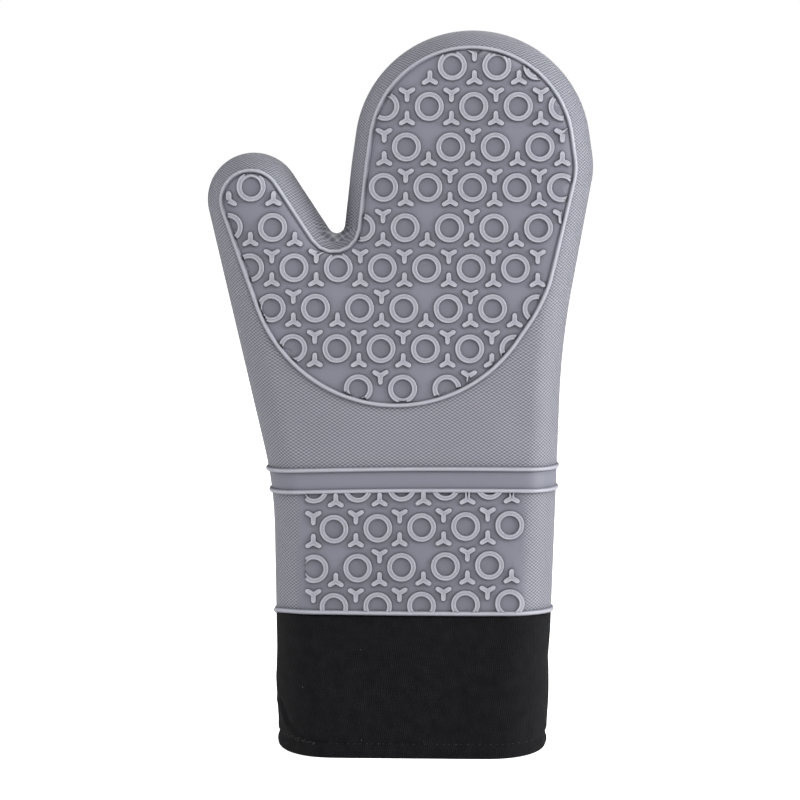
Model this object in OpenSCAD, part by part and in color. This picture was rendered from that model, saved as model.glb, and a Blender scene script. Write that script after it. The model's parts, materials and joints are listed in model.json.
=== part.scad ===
// Long silicone oven mitt with a cotton cuff and a quilted liner.
// The mitt stands on its open cuff: +Z runs up to the fingertips, the palm faces -Y and the thumb is at -X.
// Origin: centre of the width and depth, on the plane of the hem.

/* [Overall outline] */
// Height from the hem to the fingertips
mitt_l = 370; // [340:1:450]
// Width of the cuff at the hem
cuff_w = 137; // [114:1:150]
// How far the middle of the cuff lies to the right of the origin
cuff_shift = 6; // [0:0.5:12]
// Half depth of the mitt at the hem
half_depth_hem = 27; // [22:0.5:34]
// Half depth of the mitt at the fingertips
half_depth_tip = 19; // [16:0.5:24]
// Radius of the rounded side edges, seen along the mitt
edge_round = 14; // [12:0.5:17]
// Extra rounding of the side edges at the open cuff
cuff_round = 16; // [10:1:24]
// Height over which the extra rounding of the cuff fades out
cuff_round_h = 120; // [90:5:150]

/* [Fingers] */
// Radius of the fingertip dome
tip_r = 60; // [52:1:66]
// Sideways place of the middle of the fingertip dome
tip_x = 37; // [32:1:42]
// Radius of the index finger's corner
index_r = 45; // [40:1:48]
// How far the index corner stands out beyond the dome
index_out = 2; // [0:0.5:4]
// How far the top of the index corner's circle lies below the fingertips
index_drop = 28; // [20:1:34]
// Radius of the little finger's corner
little_r = 40; // [35:1:44]
// How far the little finger's corner stands out beyond the dome
little_out = 1.5; // [0:0.5:4]
// How far the top of the little corner's circle lies below the fingertips
little_drop = 29; // [20:1:34]

/* [Thumb] */
// Radius of the thumb's tip
thumb_r = 23.8; // [20:0.2:27]
// Sideways place of the thumb tip's centre
thumb_x = -74.8; // [-84:0.2:-70]
// Height of the thumb tip's centre
thumb_z = 284; // [260:1:300]
// Radius at the bottom of the gap between thumb and fingers
crotch_r = 4.3; // [3:0.1:6]
// Sideways place of the gap's bottom
crotch_x = -32.5; // [-36:0.5:-28]
// Height of the centre of the gap's rounded bottom
crotch_z = 271; // [255:1:280]

/* [Wrist] */
// Height of the narrowest place on the thumb side
wrist_left_z = 112; // [90:1:130]
// Radius of the hollow curve on the thumb side
wrist_left_r = 200; // [150:10:300]
// Height of the narrowest place on the little finger's side
wrist_right_z = 168; // [150:1:190]
// Radius of the hollow curve on the little finger's side
wrist_right_r = 400; // [300:10:600]
// Distance from the origin to the narrowest place on the thumb side
wrist_left_x = 64.5; // [58:0.5:70]
// Distance from the origin to the narrowest place on the little finger's side
wrist_right_x = 81.5; // [76:0.5:88]

/* [Silicone shell] */
// Thickness of the silicone
shell_t = 2; // [1.4:0.1:2.6]
// Height of the shell's lower edge
shell_z = 73.5; // [60:0.5:90]
// Height of the beads that stand proud of the shell
bead_h = 1.2; // [0.8:0.1:1.8]
// Width of each bead
bead_w = 2.4; // [1.8:0.1:3.2]
// Height of the lower wrist rib
rib_low_z = 135.5; // [120:0.5:140]
// Distance between the two wrist ribs
rib_pitch = 11; // [6:0.5:20]

/* [Cotton cuff] */
// Thickness of the folded cuff cloth
cuff_t = 2.6; // [2:0.1:3]
// Thickness of the cuff's tongue inside the shell
tongue_t = 1.8; // [1.2:0.1:2.2]
// Height of the tongue that is tucked under the shell
tongue_h = 14; // [8:1:20]
// Height of the hem's stitched line
hem_z = 7.6; // [5:0.2:12]

/* [Quilted liner] */
// Thickness of the backing cloth next to the shell
backing_t = 0.6; // [0.4:0.1:0.8]
// Thickness of the wadding
wadding_t = 2.8; // [2:0.1:3.4]
// Thickness of the lining cloth next to the hand
lining_t = 0.7; // [0.4:0.1:0.9]
// Height of the liner's lower edge
liner_z = 79; // [70:1:85]

/* [Threads] */
// Length of one stitch
stitch_l = 3; // [2.2:0.1:4]
// Gap between two stitches
stitch_gap = 3; // [1.6:0.2:4]
// Thickness of the sewing thread
thread_d = 0.6; // [0.4:0.1:0.8]
// Number of stitches in the back-tack that ends the hem
tack_count = 7; // [4:1:10]

/* [Folding] */
// Height of the line about which the fingers fold
finger_fold_z = 288; // [280:1:300]
// How far towards the palm both fold lines lie
fold_depth = 6; // [2:0.5:10]
// Angle through which the fingers fold
finger_fold = 45; // [20:1:50]
// Angle through which the thumb folds
thumb_fold = 40; // [20:1:45]
// Slope of the thumb's fold line, up from the horizontal
thumb_slope = 56; // [50:1:65]

/* [Fits] */
// Clearance between shell, cuff and liner
layer_gap = 0.3; // [0.2:0.05:0.5]
// Clearance between the plies of the liner
ply_gap = 0.1; // [0.05:0.05:0.2]
// Gap between two bodies at a fold line
fold_gap = 0.4; // [0.3:0.1:1]

/* [Hidden] */
ZONES = ["hand", "fingers", "thumb"];
PANELS = ["palm", "back"];
PLIES = ["backing", "wadding", "lining"];

silicone_grey = "#8b8c93";
cotton_black = "#1b1b1e";
lining_grey = "#2a2b2f";
wadding_white = "#e8e6df";
thread_black = "#141416";

// Depths below the shell's outer face at which each layer starts
tongue_in = shell_t + layer_gap;
backing_in = tongue_in + tongue_t + layer_gap;
wadding_in = backing_in + backing_t + ply_gap;
lining_in = wadding_in + wadding_t + ply_gap;
lining_out = lining_in + lining_t;
// Distance from a cloth's face to the middle of the thread that lies on it
stitch_off = 1.5 * thread_d;

below = 20;
reach = 500;
arc_step = 9;
span_steps = 3;
edge_steps = 4;
depth_slope = (half_depth_hem - half_depth_tip) / mitt_l;

// The circles that the outline passes round, as [x, z, radius, side]; side -1 is a hollow
OUTLINE = [
    [cuff_shift - cuff_w / 2, -below, 0, 1],
    [-wrist_left_x - wrist_left_r, wrist_left_z, wrist_left_r, -1],
    [thumb_x, thumb_z, thumb_r, 1],
    [crotch_x, crotch_z, crotch_r, -1],
    [tip_x - tip_r - index_out + index_r, mitt_l - index_drop - index_r, index_r, 1],
    [tip_x, mitt_l - tip_r, tip_r, 1],
    [tip_x + tip_r + little_out - little_r, mitt_l - little_drop - little_r, little_r, 1],
    [wrist_right_x + wrist_right_r, wrist_right_z, wrist_right_r, -1],
    [cuff_shift + cuff_w / 2, -below, 0, 1]
];

// Radius of outline circle c once the outline is drawn in by `inset`, negative for a hollow
function signed_r(c, inset) = c[3] * c[2] - inset;

// Heading of the straight line that touches circles a and b
function heading(a, b, inset) =
    let (d = [b[0] - a[0], b[1] - a[1]])
    atan2(d[1], d[0]) + asin((signed_r(b, inset) - signed_r(a, inset)) / norm(d));

function normal(angle) = [sin(angle), -cos(angle)];

function touch(c, angle, inset) = [c[0], c[1]] - signed_r(c, inset) * normal(angle);

// Points of the outline with the heading at each: arcs round the circles and spans between them
function outline_points(inset) =
    let (n = len(OUTLINE))
    [for (i = [0:n - 2])
        let (a = OUTLINE[i], b = OUTLINE[i + 1])
        let (now = heading(a, b, inset))
        let (before = i == 0 ? now : heading(OUTLINE[i - 1], a, inset))
        let (turn = a[3] * ((a[3] * (before - now) + 720) % 360))
        let (m = max(1, ceil(abs(turn) / arc_step)))
        each concat(
            i == 0 ? [] : [for (j = [0:m]) let (h = before - turn * j / m) [touch(a, h, inset), h]],
            [for (j = [i == 0 ? 0 : 1:span_steps - (i == n - 2 ? 0 : 1)])
                let (s = j / span_steps)
                [(1 - s) * touch(a, now, inset) + s * touch(b, now, inset), now]]
        )
    ];

function half_depth(z) = half_depth_hem - depth_slope * z;

function side_round(z) = edge_round + cuff_round * max(0, 1 - z / cuff_round_h);

// One ring of the surface: the outline point moved in along its normal while the depth grows
function ring(point, inset) =
    let (r = side_round(point[0][1]) - inset)
    [for (k = [-edge_steps:edge_steps])
        let (t = 90 * k / edge_steps)
        let (p = point[0] + r * (1 - cos(t)) * normal(point[1]))
        [p[0], (half_depth(p[1]) - inset) * sin(t), p[1]]
    ];

// The whole solid inside the surface that lies `inset` below the shell's outer face
module mitt_volume(inset, z_low) {
    rings = [for (p = outline_points(inset)) ring(p, inset)];
    n = len(rings);
    m = 2 * edge_steps + 1;
    front = [for (i = [0:n - 1]) i * m];
    back = [for (i = [n - 1:-1:0]) i * m + m - 1];
    sides = [for (i = [0:n - 2], k = [0:m - 2])
        let (a = i * m + k, b = a + m)
        each [[a, a + 1, b + 1], [a, b + 1, b]]
    ];
    hem = concat([for (k = [0:m - 1]) (n - 1) * m + k], [for (k = [m - 1:-1:0]) k]);
    intersection() {
        polyhedron(points = [for (r = rings) each r], faces = concat([front, back, hem], sides));
        translate([-reach / 2, -reach / 2, z_low])
            cube(reach);
    }
}

// A layer between two depths, from z_low to z_high
module layer(outer, inner, z_low, z_high = reach) {
    difference() {
        mitt_volume(outer, z_low);
        mitt_volume(inner, z_low - 1);
        translate([-reach / 2, -reach / 2, z_high])
            cube(reach);
    }
}

// Everything beyond a fold line that runs along X through the origin: above it, or below it if `down`.
// Towards the palm the cut leans away from the line, so that the two sides clear each other when folded.
module fold_side(angle, down) {
    shift = fold_gap / 2;
    mirror([0, 0, down ? 1 : 0])
        rotate([90, 0, 90])
            linear_extrude(2 * reach, center = true)
                polygon([
                    [-reach, shift + (reach - fold_depth) * tan(angle / 2)],
                    [-fold_depth, shift],
                    [reach, shift],
                    [reach, reach],
                    [-reach, reach]
                ]);
}

module finger_side(down = false) {
    translate([0, 0, finger_fold_z])
        fold_side(finger_fold, down);
}

module thumb_side(down = false) {
    translate([crotch_x, 0, crotch_z])
        rotate([0, -thumb_slope, 0])
            fold_side(thumb_fold, down);
}

// Half of space, split through the gap between thumb and fingers
module side_block(right) {
    translate([right ? crotch_x : crotch_x - reach, -reach / 2, -reach / 2])
        cube([reach, reach, 2 * reach]);
}

module zone_block(zone) {
    if (zone == "hand")
        intersection() {
            union() {
                thumb_side(down = true);
                side_block(right = true);
            }
            union() {
                finger_side(down = true);
                side_block(right = false);
            }
        }
    if (zone == "fingers")
        intersection() {
            finger_side();
            side_block(right = true);
        }
    if (zone == "thumb")
        intersection() {
            thumb_side();
            side_block(right = false);
        }
}

// The part of a skin that lies in one zone, as a single mesh
module skin_in(zone) {
    resize([0, 0, 0])
        intersection() {
            children();
            zone_block(zone);
        }
}

// The volume inside a bead that stands proud of the shell, from height z upwards
module bead_volume(z) {
    difference() {
        mitt_volume(-bead_h, z);
        translate([-reach / 2, -reach / 2, z + bead_w])
            cube(reach);
    }
}

module silicone_shell(zone) {
    color(silicone_grey)
        skin_in(zone)
            difference() {
                union() {
                    mitt_volume(0, shell_z);
                    for (z = [shell_z, rib_low_z - bead_w / 2, rib_low_z + rib_pitch - bead_w / 2])
                        bead_volume(z);
                }
                mitt_volume(shell_t, shell_z - 1);
            }
}

// The folded band and the tongue that is tucked in between shell and liner
module cuff_band() {
    band_top = shell_z - layer_gap;
    color(cotton_black)
        resize([0, 0, 0])
            union() {
                layer(0, cuff_t, 0, band_top);
                layer(cuff_t / 2, tongue_in + tongue_t, band_top - 2 * cuff_t, band_top);
                layer(tongue_in, tongue_in + tongue_t, band_top - cuff_t, shell_z + tongue_h);
            }
}

function ply_depths(ply) =
    ply == "backing" ? [backing_in, backing_in + backing_t]
    : ply == "wadding" ? [wadding_in, wadding_in + wadding_t]
    : [lining_in, lining_out];

module liner_ply(panel, ply, zone) {
    depths = ply_depths(ply);
    tint = ply == "wadding" ? wadding_white : lining_grey;
    color(tint)
        skin_in(zone)
            intersection() {
                layer(depths[0], depths[1], liner_z);
                translate([-reach / 2, panel == "palm" ? -reach - ply_gap : ply_gap, 0])
                    cube(reach);
            }
}

// One stitch that lies along `yaw` in the XY plane and climbs by `climb`
module stitch(place, yaw, climb, length = stitch_l) {
    translate(place)
        rotate([0, 90 - climb, yaw])
            cylinder(h = length, d = thread_d, center = true, $fn = 16);
}

// Left or right edge of the cuff at height z, on the straight stretch next to the hem
function cuff_edge(z, right) =
    let (pts = outline_points(0), n = len(pts))
    let (a = pts[right ? n - 1 : 0][0], b = pts[right ? n - 2 : 1][0])
    a[0] + (b[0] - a[0]) * (z - a[1]) / (b[1] - a[1]);

// Place and heading at distance s round the cuff's section at height z, starting at the palm's left corner
function girdle(s, z, inset) =
    let (x0 = cuff_edge(z, false) + inset, x1 = cuff_edge(z, true) - inset)
    let (r = side_round(z) - inset, h = half_depth(z) - inset)
    let (flat = x1 - x0 - 2 * r, bend = 180 * sqrt((r * r + h * h) / 2) * PI / 180)
    let (back = s > flat + bend, t = back ? s - flat - bend : s)
    let (turn = max(0, min(1, (t - flat) / bend)) * 180)
    let (x = min(t, flat) + r * sin(turn), y = -h * cos(turn))
    back ? [[x1 - r - x, -y], 180 + atan2(h * sin(turn), r * cos(turn))]
    : [[x0 + r + x, y], atan2(h * sin(turn), r * cos(turn))];

function girdle_length(z, inset) =
    let (r = side_round(z) - inset, h = half_depth(z) - inset)
    2 * (cuff_edge(z, true) - cuff_edge(z, false) - 2 * inset - 2 * r) + 2 * PI * sqrt((r * r + h * h) / 2);

module girdle_stitches(z, inset) {
    around = girdle_length(z, inset);
    count = floor(around / (stitch_l + stitch_gap));
    color(thread_black)
        for (i = [0:count - 1]) {
            spot = girdle(around * i / count, z, inset);
            stitch([spot[0][0], spot[0][1], z], spot[1], 0);
        }
}

module hem_topstitch() {
    girdle_stitches(hem_z, -stitch_off);
}

// Row that joins cuff and liner, on the lining's inner face
module cuff_join_stitch() {
    girdle_stitches((liner_z + shell_z + tongue_h) / 2, lining_out + 2 * stitch_off);
}

// Short dense row over the hem's line at the thumb side
module hem_back_tack() {
    color(thread_black)
        for (i = [0:tack_count - 1]) {
            spot = girdle(stitch_l * i, hem_z, -stitch_off);
            stitch([spot[0][0], spot[0][1], hem_z + 2 * thread_d], spot[1], 0, 0.8 * stitch_l);
        }
}

// Seam that closes the cuff's cloth into a tube, inside at the little finger's side
module cuff_side_seam() {
    top = shell_z - 3 * cuff_t;
    count = floor((top - hem_z) / (stitch_l + stitch_gap));
    color(thread_black)
        for (i = [1:count]) {
            z = hem_z + i * (stitch_l + stitch_gap);
            stitch([cuff_edge(z, true) - cuff_t - stitch_off, 0, z], 0, 90);
        }
}

// Distances along a path up to each of its points
function path_lengths(path, i = 0, sum = 0) =
    i == len(path) ? [] : concat([sum], path_lengths(path, i + 1,
        i + 1 < len(path) ? sum + norm(path[i + 1] - path[i]) : sum));

// Where a point of the outline belongs; points within a stitch of a fold line belong nowhere
function zone_of(p) =
    let (beyond = (p[1] - crotch_z) * cos(thumb_slope) - (p[0] - crotch_x) * sin(thumb_slope))
    let (depth = p[0] < crotch_x ? beyond : p[1] - finger_fold_z)
    abs(depth) < stitch_l ? "" : depth < 0 ? "hand" : p[0] < crotch_x ? "thumb" : "fingers";

// Seam that joins the liner's two panels, in the gap between liner and shell
module liner_seam(zone) {
    depth = (shell_t + backing_in) / 2;
    path = [for (p = outline_points(depth)) p[0]];
    run = path_lengths(path);
    count = floor(run[len(run) - 1] / (stitch_l + stitch_gap));
    xs = [for (i = [0:len(run) - 1]) [run[i], path[i][0]]];
    zs = [for (i = [0:len(run) - 1]) [run[i], path[i][1]]];
    color(thread_black)
        for (i = [0:count - 1]) {
            s = i * (stitch_l + stitch_gap);
            a = [lookup(s, xs), lookup(s, zs)];
            b = [lookup(s + stitch_l, xs), lookup(s + stitch_l, zs)];
            mid = (a + b) / 2;
            if (mid[1] > shell_z + tongue_h + stitch_l && zone_of(mid) == zone)
                stitch([mid[0], 0, mid[1]], 0, atan2(b[1] - a[1], b[0] - a[0]), norm(b - a));
        }
}

for (z = ZONES) {
    silicone_shell(z);
    liner_seam(z);
    for (p = PANELS, q = PLIES)
        liner_ply(p, q, z);
}
cuff_band();
cuff_side_seam();
cuff_join_stitch();
hem_topstitch();
hem_back_tack();
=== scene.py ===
"""Looks of a long oven mitt: moulded silicone over a quilted liner, with a black cotton cuff.

The mitt stands on its cuff. +Z runs up to the fingertips, the palm faces -Y and the thumb is at -X.
Every layer comes from one outline, a chain of touching circles, drawn in to the depth of that layer,
so shell, cuff and liner nest. Sizes are in millimetres until a mesh is made.
"""

import json
import logging
import math
from collections.abc import Iterable, Sequence
from dataclasses import dataclass, field
from enum import Enum

import bpy
import numpy as np
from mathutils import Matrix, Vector
from mathutils.geometry import delaunay_2d_cdt


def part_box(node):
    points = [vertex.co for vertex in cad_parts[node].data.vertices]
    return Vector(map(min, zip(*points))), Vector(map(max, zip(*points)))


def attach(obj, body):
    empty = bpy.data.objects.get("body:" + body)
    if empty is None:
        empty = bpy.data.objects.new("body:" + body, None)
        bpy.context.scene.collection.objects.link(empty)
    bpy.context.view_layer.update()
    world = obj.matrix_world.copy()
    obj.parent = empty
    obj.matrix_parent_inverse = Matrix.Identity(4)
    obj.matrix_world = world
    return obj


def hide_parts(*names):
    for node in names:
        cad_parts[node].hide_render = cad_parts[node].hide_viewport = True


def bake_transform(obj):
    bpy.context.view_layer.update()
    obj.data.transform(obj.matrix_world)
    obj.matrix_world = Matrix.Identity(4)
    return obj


MM = 0.001
LOG = logging.getLogger("oven_mitt")
Array = np.ndarray
Faces = list[tuple[int, ...]]
Material = bpy.types.Material
Tree = bpy.types.NodeTree
Socket = bpy.types.NodeSocket
ROOT = -0.6  # how far raised shapes reach down into the wall

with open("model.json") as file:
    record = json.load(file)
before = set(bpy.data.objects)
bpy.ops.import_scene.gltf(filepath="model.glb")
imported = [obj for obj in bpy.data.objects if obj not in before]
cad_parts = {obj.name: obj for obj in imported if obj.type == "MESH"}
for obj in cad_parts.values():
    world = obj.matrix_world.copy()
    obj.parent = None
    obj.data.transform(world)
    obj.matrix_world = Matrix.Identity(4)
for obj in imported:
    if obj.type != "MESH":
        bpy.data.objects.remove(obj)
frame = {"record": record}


class Side(Enum):
    """Which face of the mitt a piece belongs to; the value is the sign of its Y."""

    PALM = -1
    BACK = 1
    BOTH = 0


class Part(Enum):
    """A length of the mitt that bends about one fold line."""

    MAIN = "main"
    THUMB = "thumb"


# ---------------------------------------------------------------------------------------------
# Outline and form
# ---------------------------------------------------------------------------------------------


def box_mm(name: str) -> list[float]:
    """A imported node's box in mm: its lowest x, y and z, then its highest."""
    low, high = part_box(name)
    return [v / MM for v in (*low, *high)]


@dataclass(frozen=True)
class Bend:
    """One circle that an outline passes round; a hollow one has side -1."""

    x: float
    z: float
    radius: float
    side: int = 1

    def signed(self, inset: float) -> float:
        """Radius once the outline is drawn in by inset, negative for a hollow."""
        return self.side * self.radius - inset

    def touch(self, angle: float, inset: float) -> Array:
        """Point where a line with this heading touches the circle."""
        normal = np.array([math.sin(angle), -math.cos(angle)])
        return np.array([self.x, self.z]) - self.signed(inset) * normal


def heading(a: Bend, b: Bend, inset: float) -> float:
    """Heading of the straight line that touches two bends.

    Args:
        a: The bend that the line leaves.
        b: The bend that the line reaches.
        inset: How far the outline is drawn in.

    Returns:
        The line's angle from +X, in radians.
    """
    dx, dz = b.x - a.x, b.z - a.z
    return math.atan2(dz, dx) + math.asin((b.signed(inset) - a.signed(inset)) / math.hypot(dx, dz))


@dataclass
class Route:
    """A line round a chain of bends, walked clockwise, with the same point count at every inset.

    Args:
        bends: The circles, in order.
        step: Spacing of the points.
        closed: Whether the line comes back to its start.
        low: Height at which an open line's two ends are cut off.
    """

    bends: Sequence[Bend]
    step: float
    closed: bool = False
    low: float = 0.0
    counts: list[tuple[int, int]] = field(default_factory=list)

    def _legs(self, inset: float) -> Iterable[tuple[Bend, float, float, Array, Array]]:
        """Each bend with the headings before and after it and the straight that follows.

        Args:
            inset: How far the line is drawn in.

        Returns:
            Rows of bend, heading before it, turn round it, and both ends of the straight after it.
        """
        n = len(self.bends)
        pairs = n if self.closed else n - 1
        heads = [heading(self.bends[i], self.bends[(i + 1) % n], inset) for i in range(pairs)]
        for i in range(pairs):
            a, b = self.bends[i], self.bends[(i + 1) % n]
            first, last = not self.closed and i == 0, not self.closed and i == pairs - 1
            p, q = a.touch(heads[i], inset), b.touch(heads[i], inset)
            if first:
                p = p + (q - p) * (self.low - p[1]) / (q[1] - p[1])
            if last:
                q = p + (q - p) * (self.low - p[1]) / (q[1] - p[1])
            before = heads[i] if first else heads[i - 1]
            turn = a.side * ((a.side * (before - heads[i])) % (2 * math.pi))
            yield a, before, (0.0 if first else turn), p, q

    def at(self, inset: float) -> tuple[Array, Array]:
        """Points of the line and the unit normals that point into it.

        Args:
            inset: How far the line is drawn in.

        Returns:
            Two arrays of [x, z] rows.
        """
        if not self.counts:
            for a, _, turn, p, q in self._legs(0.0):
                arc = math.ceil(abs(turn) * a.radius / self.step) if turn else 0
                self.counts.append((arc, max(1, round(float(np.hypot(*(q - p))) / self.step))))
        points, angles = [], []
        for (a, before, turn, p, q), (arc, span) in zip(self._legs(inset), self.counts):
            for j in range(arc):
                angles.append(before - turn * j / arc)
                points.append(a.touch(angles[-1], inset))
            for j in range(span):
                angles.append(before - turn)
                points.append(p + (q - p) * j / span)
        if not self.closed:
            angles.append(before - turn)
            points.append(q)
        turned = np.array(angles)
        return np.array(points), np.stack([np.sin(turned), -np.cos(turned)], axis=1)


@dataclass(frozen=True)
class Sizes:
    """Sizes of the mitt that the boxes of its parts don't give, in mm."""

    tip_radius: float = 60.0
    tip_from_right: float = 61.5
    index_radius: float = 45.0
    index_from_tip: float = 17.0
    index_drop: float = 28.0
    little_radius: float = 40.0
    little_drop: float = 29.0
    thumb_radius: float = 23.8
    crotch_radius: float = 4.3
    wrist_left: tuple[float, float, float] = (-64.5, 112.0, 200.0)
    wrist_right: tuple[float, float, float] = (81.5, 168.0, 400.0)
    cuff_width: float = 137.0
    cuff_middle: float = 6.0
    edge_round: float = 14.0
    cuff_round: float = 16.0
    cuff_round_height: float = 120.0
    crown: float = 2.6
    shell: float = 2.0
    tongue: tuple[float, float] = (2.3, 4.1)
    cuff: float = 2.6
    backing: tuple[float, float] = (4.4, 5.0)
    wadding: tuple[float, float] = (5.1, 7.9)
    lining: tuple[float, float] = (8.0, 8.7)


class Form:
    """The mitt's outer face, given as a depth over the plane of its outline."""

    def __init__(self, sizes: Sizes) -> None:
        """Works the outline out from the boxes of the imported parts.

        Args:
            sizes: The sizes that the boxes don't give.
        """
        self.sizes = sizes
        fingers, thumb, cuff = (
            box_mm(name) for name in ("silicone_shell_fingers", "silicone_shell_thumb", "cuff_band")
        )
        folds = {j["name"]: j for j in frame["record"]["behaviour"]["joints"]}
        self.fold_thumb = Vector(folds["thumb_fold"]["pos_m"]) / MM
        along = Vector(folds["thumb_fold"]["axis"])
        self.thumb_out = Vector((-along.z, 0.0, along.x))
        s = sizes
        right, top = fingers[3], fingers[5]
        tip_x = right - s.tip_from_right
        self.top = top
        self.shell_low = box_mm("silicone_shell_hand")[2]
        self.tongue_top = cuff[5]
        self.liner_low = box_mm("palm_lining_hand")[2]
        self.hem_depth = (cuff[4] - cuff[1]) / 2
        fold_depth = (fingers[4] - fingers[1]) / 2
        self.depth_slope = (self.hem_depth - fold_depth) / fingers[2]
        self.left_hem = s.cuff_middle - s.cuff_width / 2
        self.right_hem = s.cuff_middle + s.cuff_width / 2
        self.crotch = Bend(self.fold_thumb.x, self.fold_thumb.z, s.crotch_radius, -1)
        below = -20.0
        wl, wr = s.wrist_left, s.wrist_right
        self.bends = (
            Bend(self.left_hem, below, 0.0),
            Bend(wl[0] - wl[2], wl[1], wl[2], -1),
            Bend(thumb[0] + s.thumb_radius, thumb[5] - s.thumb_radius, s.thumb_radius),
            self.crotch,
            Bend(tip_x - s.index_from_tip, top - s.index_drop - s.index_radius, s.index_radius),
            Bend(tip_x, top - s.tip_radius, s.tip_radius),
            Bend(right - s.little_radius, top - s.little_drop - s.little_radius, s.little_radius),
            Bend(wr[0] + wr[2], wr[1], wr[2], -1),
            Bend(self.right_hem, below, 0.0),
        )
        line, _ = Route(self.bends, 1.5, low=below).at(0.0)
        self.outline = Trace(line)

    def distance(self, xz: Array) -> Array:
        """Distance from the outline of points that lie inside it.

        Args:
            xz: Rows of [x, z].

        Returns:
            One distance for each row.
        """
        return np.abs(self.outline.measure(xz)[0])

    def half_depth(self, z: Array) -> Array:
        """Half depth of the flat faces at height z."""
        return self.hem_depth - self.depth_slope * z

    def side_round(self, z: Array) -> Array:
        """Radius of the rounded side edges at height z."""
        s = self.sizes
        return s.edge_round + s.cuff_round * np.maximum(0, 1 - z / s.cuff_round_height)

    def softness(self, x: Array, z: Array, side: Array) -> Array:
        """How far the soft faces stand out from flat.

        Args:
            x: Sideways places.
            z: Heights.
            side: -1 on the palm and 1 on the back.

        Returns:
            Displacements, outwards positive.
        """
        waves = 0.55 * np.sin(x / 33 + 1.1 + side) * np.sin(z / 41 + 0.4 * side)
        waves = waves + 0.3 * np.sin(x / 15 - z / 24 + 2.0 * side)
        dent = 1.9 * np.exp(-(((x - 66) / 11) ** 2 + ((z - 172) / 12) ** 2))
        dent = dent + 1.0 * np.exp(-(((x + 52) / 14) ** 2 + ((z - 166) / 16) ** 2))
        return waves - dent

    def lift(self, xz: Array, side: Array, distance: Array) -> Array:
        """Crown and softness of the face, which fade out towards the outline.

        Args:
            xz: Rows of [x, z].
            side: -1 on the palm and 1 on the back.
            distance: Distance of each row from the outline.

        Returns:
            Displacements along Y, outwards positive.
        """
        fade = 1 - np.exp(-np.maximum(distance, 0) / 16)
        return fade * (self.sizes.crown * fade + self.softness(xz[:, 0], xz[:, 1], side))

    def face(self, xz: Array, side: int, inset: float = 0.0) -> Array:
        """Points of the skin over places in the outline.

        Args:
            xz: Rows of [x, z].
            side: -1 on the palm and 1 on the back.
            inset: Depth of the layer below the outer face.

        Returns:
            Rows of [x, y, z] in mm.
        """
        d = self.distance(xz)
        r = self.side_round(xz[:, 1]) - inset
        t = np.clip((d - inset) / r, 0, 1)
        y = (self.half_depth(xz[:, 1]) - inset) * np.sqrt(np.maximum(0, 1 - (1 - t) ** 2))
        y = y + self.lift(xz, np.full(len(xz), side), d)
        return np.stack([xz[:, 0], side * y, xz[:, 1]], axis=1)

    def facing(self, xz: Array, side: int, inset: float = 0.0) -> Array:
        """Unit normals of the skin, by differences over half a millimetre.

        Args:
            xz: Rows of [x, z].
            side: -1 on the palm and 1 on the back.
            inset: Depth of the layer below the outer face.

        Returns:
            Rows of [x, y, z] that point outwards.
        """
        e = 0.5
        dx = self.face(xz + [e, 0], side, inset) - self.face(xz - [e, 0], side, inset)
        dz = self.face(xz + [0, e], side, inset) - self.face(xz - [0, e], side, inset)
        n = np.cross(dx, dz) * -side
        n = np.where((n[:, 1] * side < 0)[:, None], -n, n)
        return n / np.linalg.norm(n, axis=1)[:, None]

    def beyond_thumb_fold(self, xz: Array) -> Array:
        """Distance beyond the thumb's fold line, positive towards the thumb's tip."""
        return (xz[:, 0] - self.fold_thumb.x) * self.thumb_out.x + (
            xz[:, 1] - self.fold_thumb.z
        ) * self.thumb_out.z

    def edge_at(self, z: float, right: bool) -> float:
        """Left or right edge of the mitt between hem and wrist, at height z.

        Args:
            z: Height.
            right: Whether the edge is the little finger's.

        Returns:
            Its place along X.
        """
        line, _ = Route(self.bends, 2.0, low=-20.0).at(0.0)
        half = line[line[:, 1] < 200]
        half = half[half[:, 0] > 0] if right else half[half[:, 0] < 0]
        order = np.argsort(half[:, 1])
        return float(np.interp(z, half[order, 1], half[order, 0]))

    def girdle(self, z: float, count: int, inset: float = 0.0) -> tuple[Array, Array]:
        """A line once round the mitt at one height, starting at the palm's left corner.

        Args:
            z: Height between the hem and the wrist ribs.
            count: Number of points.
            inset: Depth below the outer face.

        Returns:
            Rows of [x, y, z] and rows of outward normals.
        """
        x0, x1 = self.edge_at(z, False) + inset, self.edge_at(z, True) - inset
        r = float(self.side_round(np.array([z]))[0]) - inset
        h = float(self.half_depth(np.array([z]))[0]) - inset
        fine = np.linspace(0, 1, 40, endpoint=False)
        flat = np.stack([x0 + r + (x1 - x0 - 2 * r) * fine, -h + 0 * fine], axis=1)
        bend = np.pi * fine
        corner = np.stack([x1 - r + r * np.sin(bend), -h * np.cos(bend)], axis=1)
        half = np.concatenate([flat, corner])
        other = np.stack([x0 + x1 - half[:, 0], -half[:, 1]], axis=1)
        loop = np.concatenate([half, other, half[:1]])
        xz = np.stack([loop[:, 0], np.full(len(loop), z)], axis=1)
        side = np.where(loop[:, 1] < 0, -1, 1)
        loop[:, 1] += side * self.lift(xz, side, self.distance(xz))
        run = np.concatenate([[0], np.cumsum(np.linalg.norm(np.diff(loop, axis=0), axis=1))])
        at = np.linspace(0, run[-1], count, endpoint=False)
        xy = np.stack([np.interp(at, run, loop[:, k]) for k in (0, 1)], axis=1)
        ahead = np.roll(xy, -1, axis=0) - np.roll(xy, 1, axis=0)
        normal = np.stack([ahead[:, 1], -ahead[:, 0], 0 * at], axis=1)
        points = np.stack([xy[:, 0], xy[:, 1], np.full(count, z)], axis=1)
        return points, normal / np.linalg.norm(normal, axis=1)[:, None]


# ---------------------------------------------------------------------------------------------
# Mesh making
# ---------------------------------------------------------------------------------------------


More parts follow.
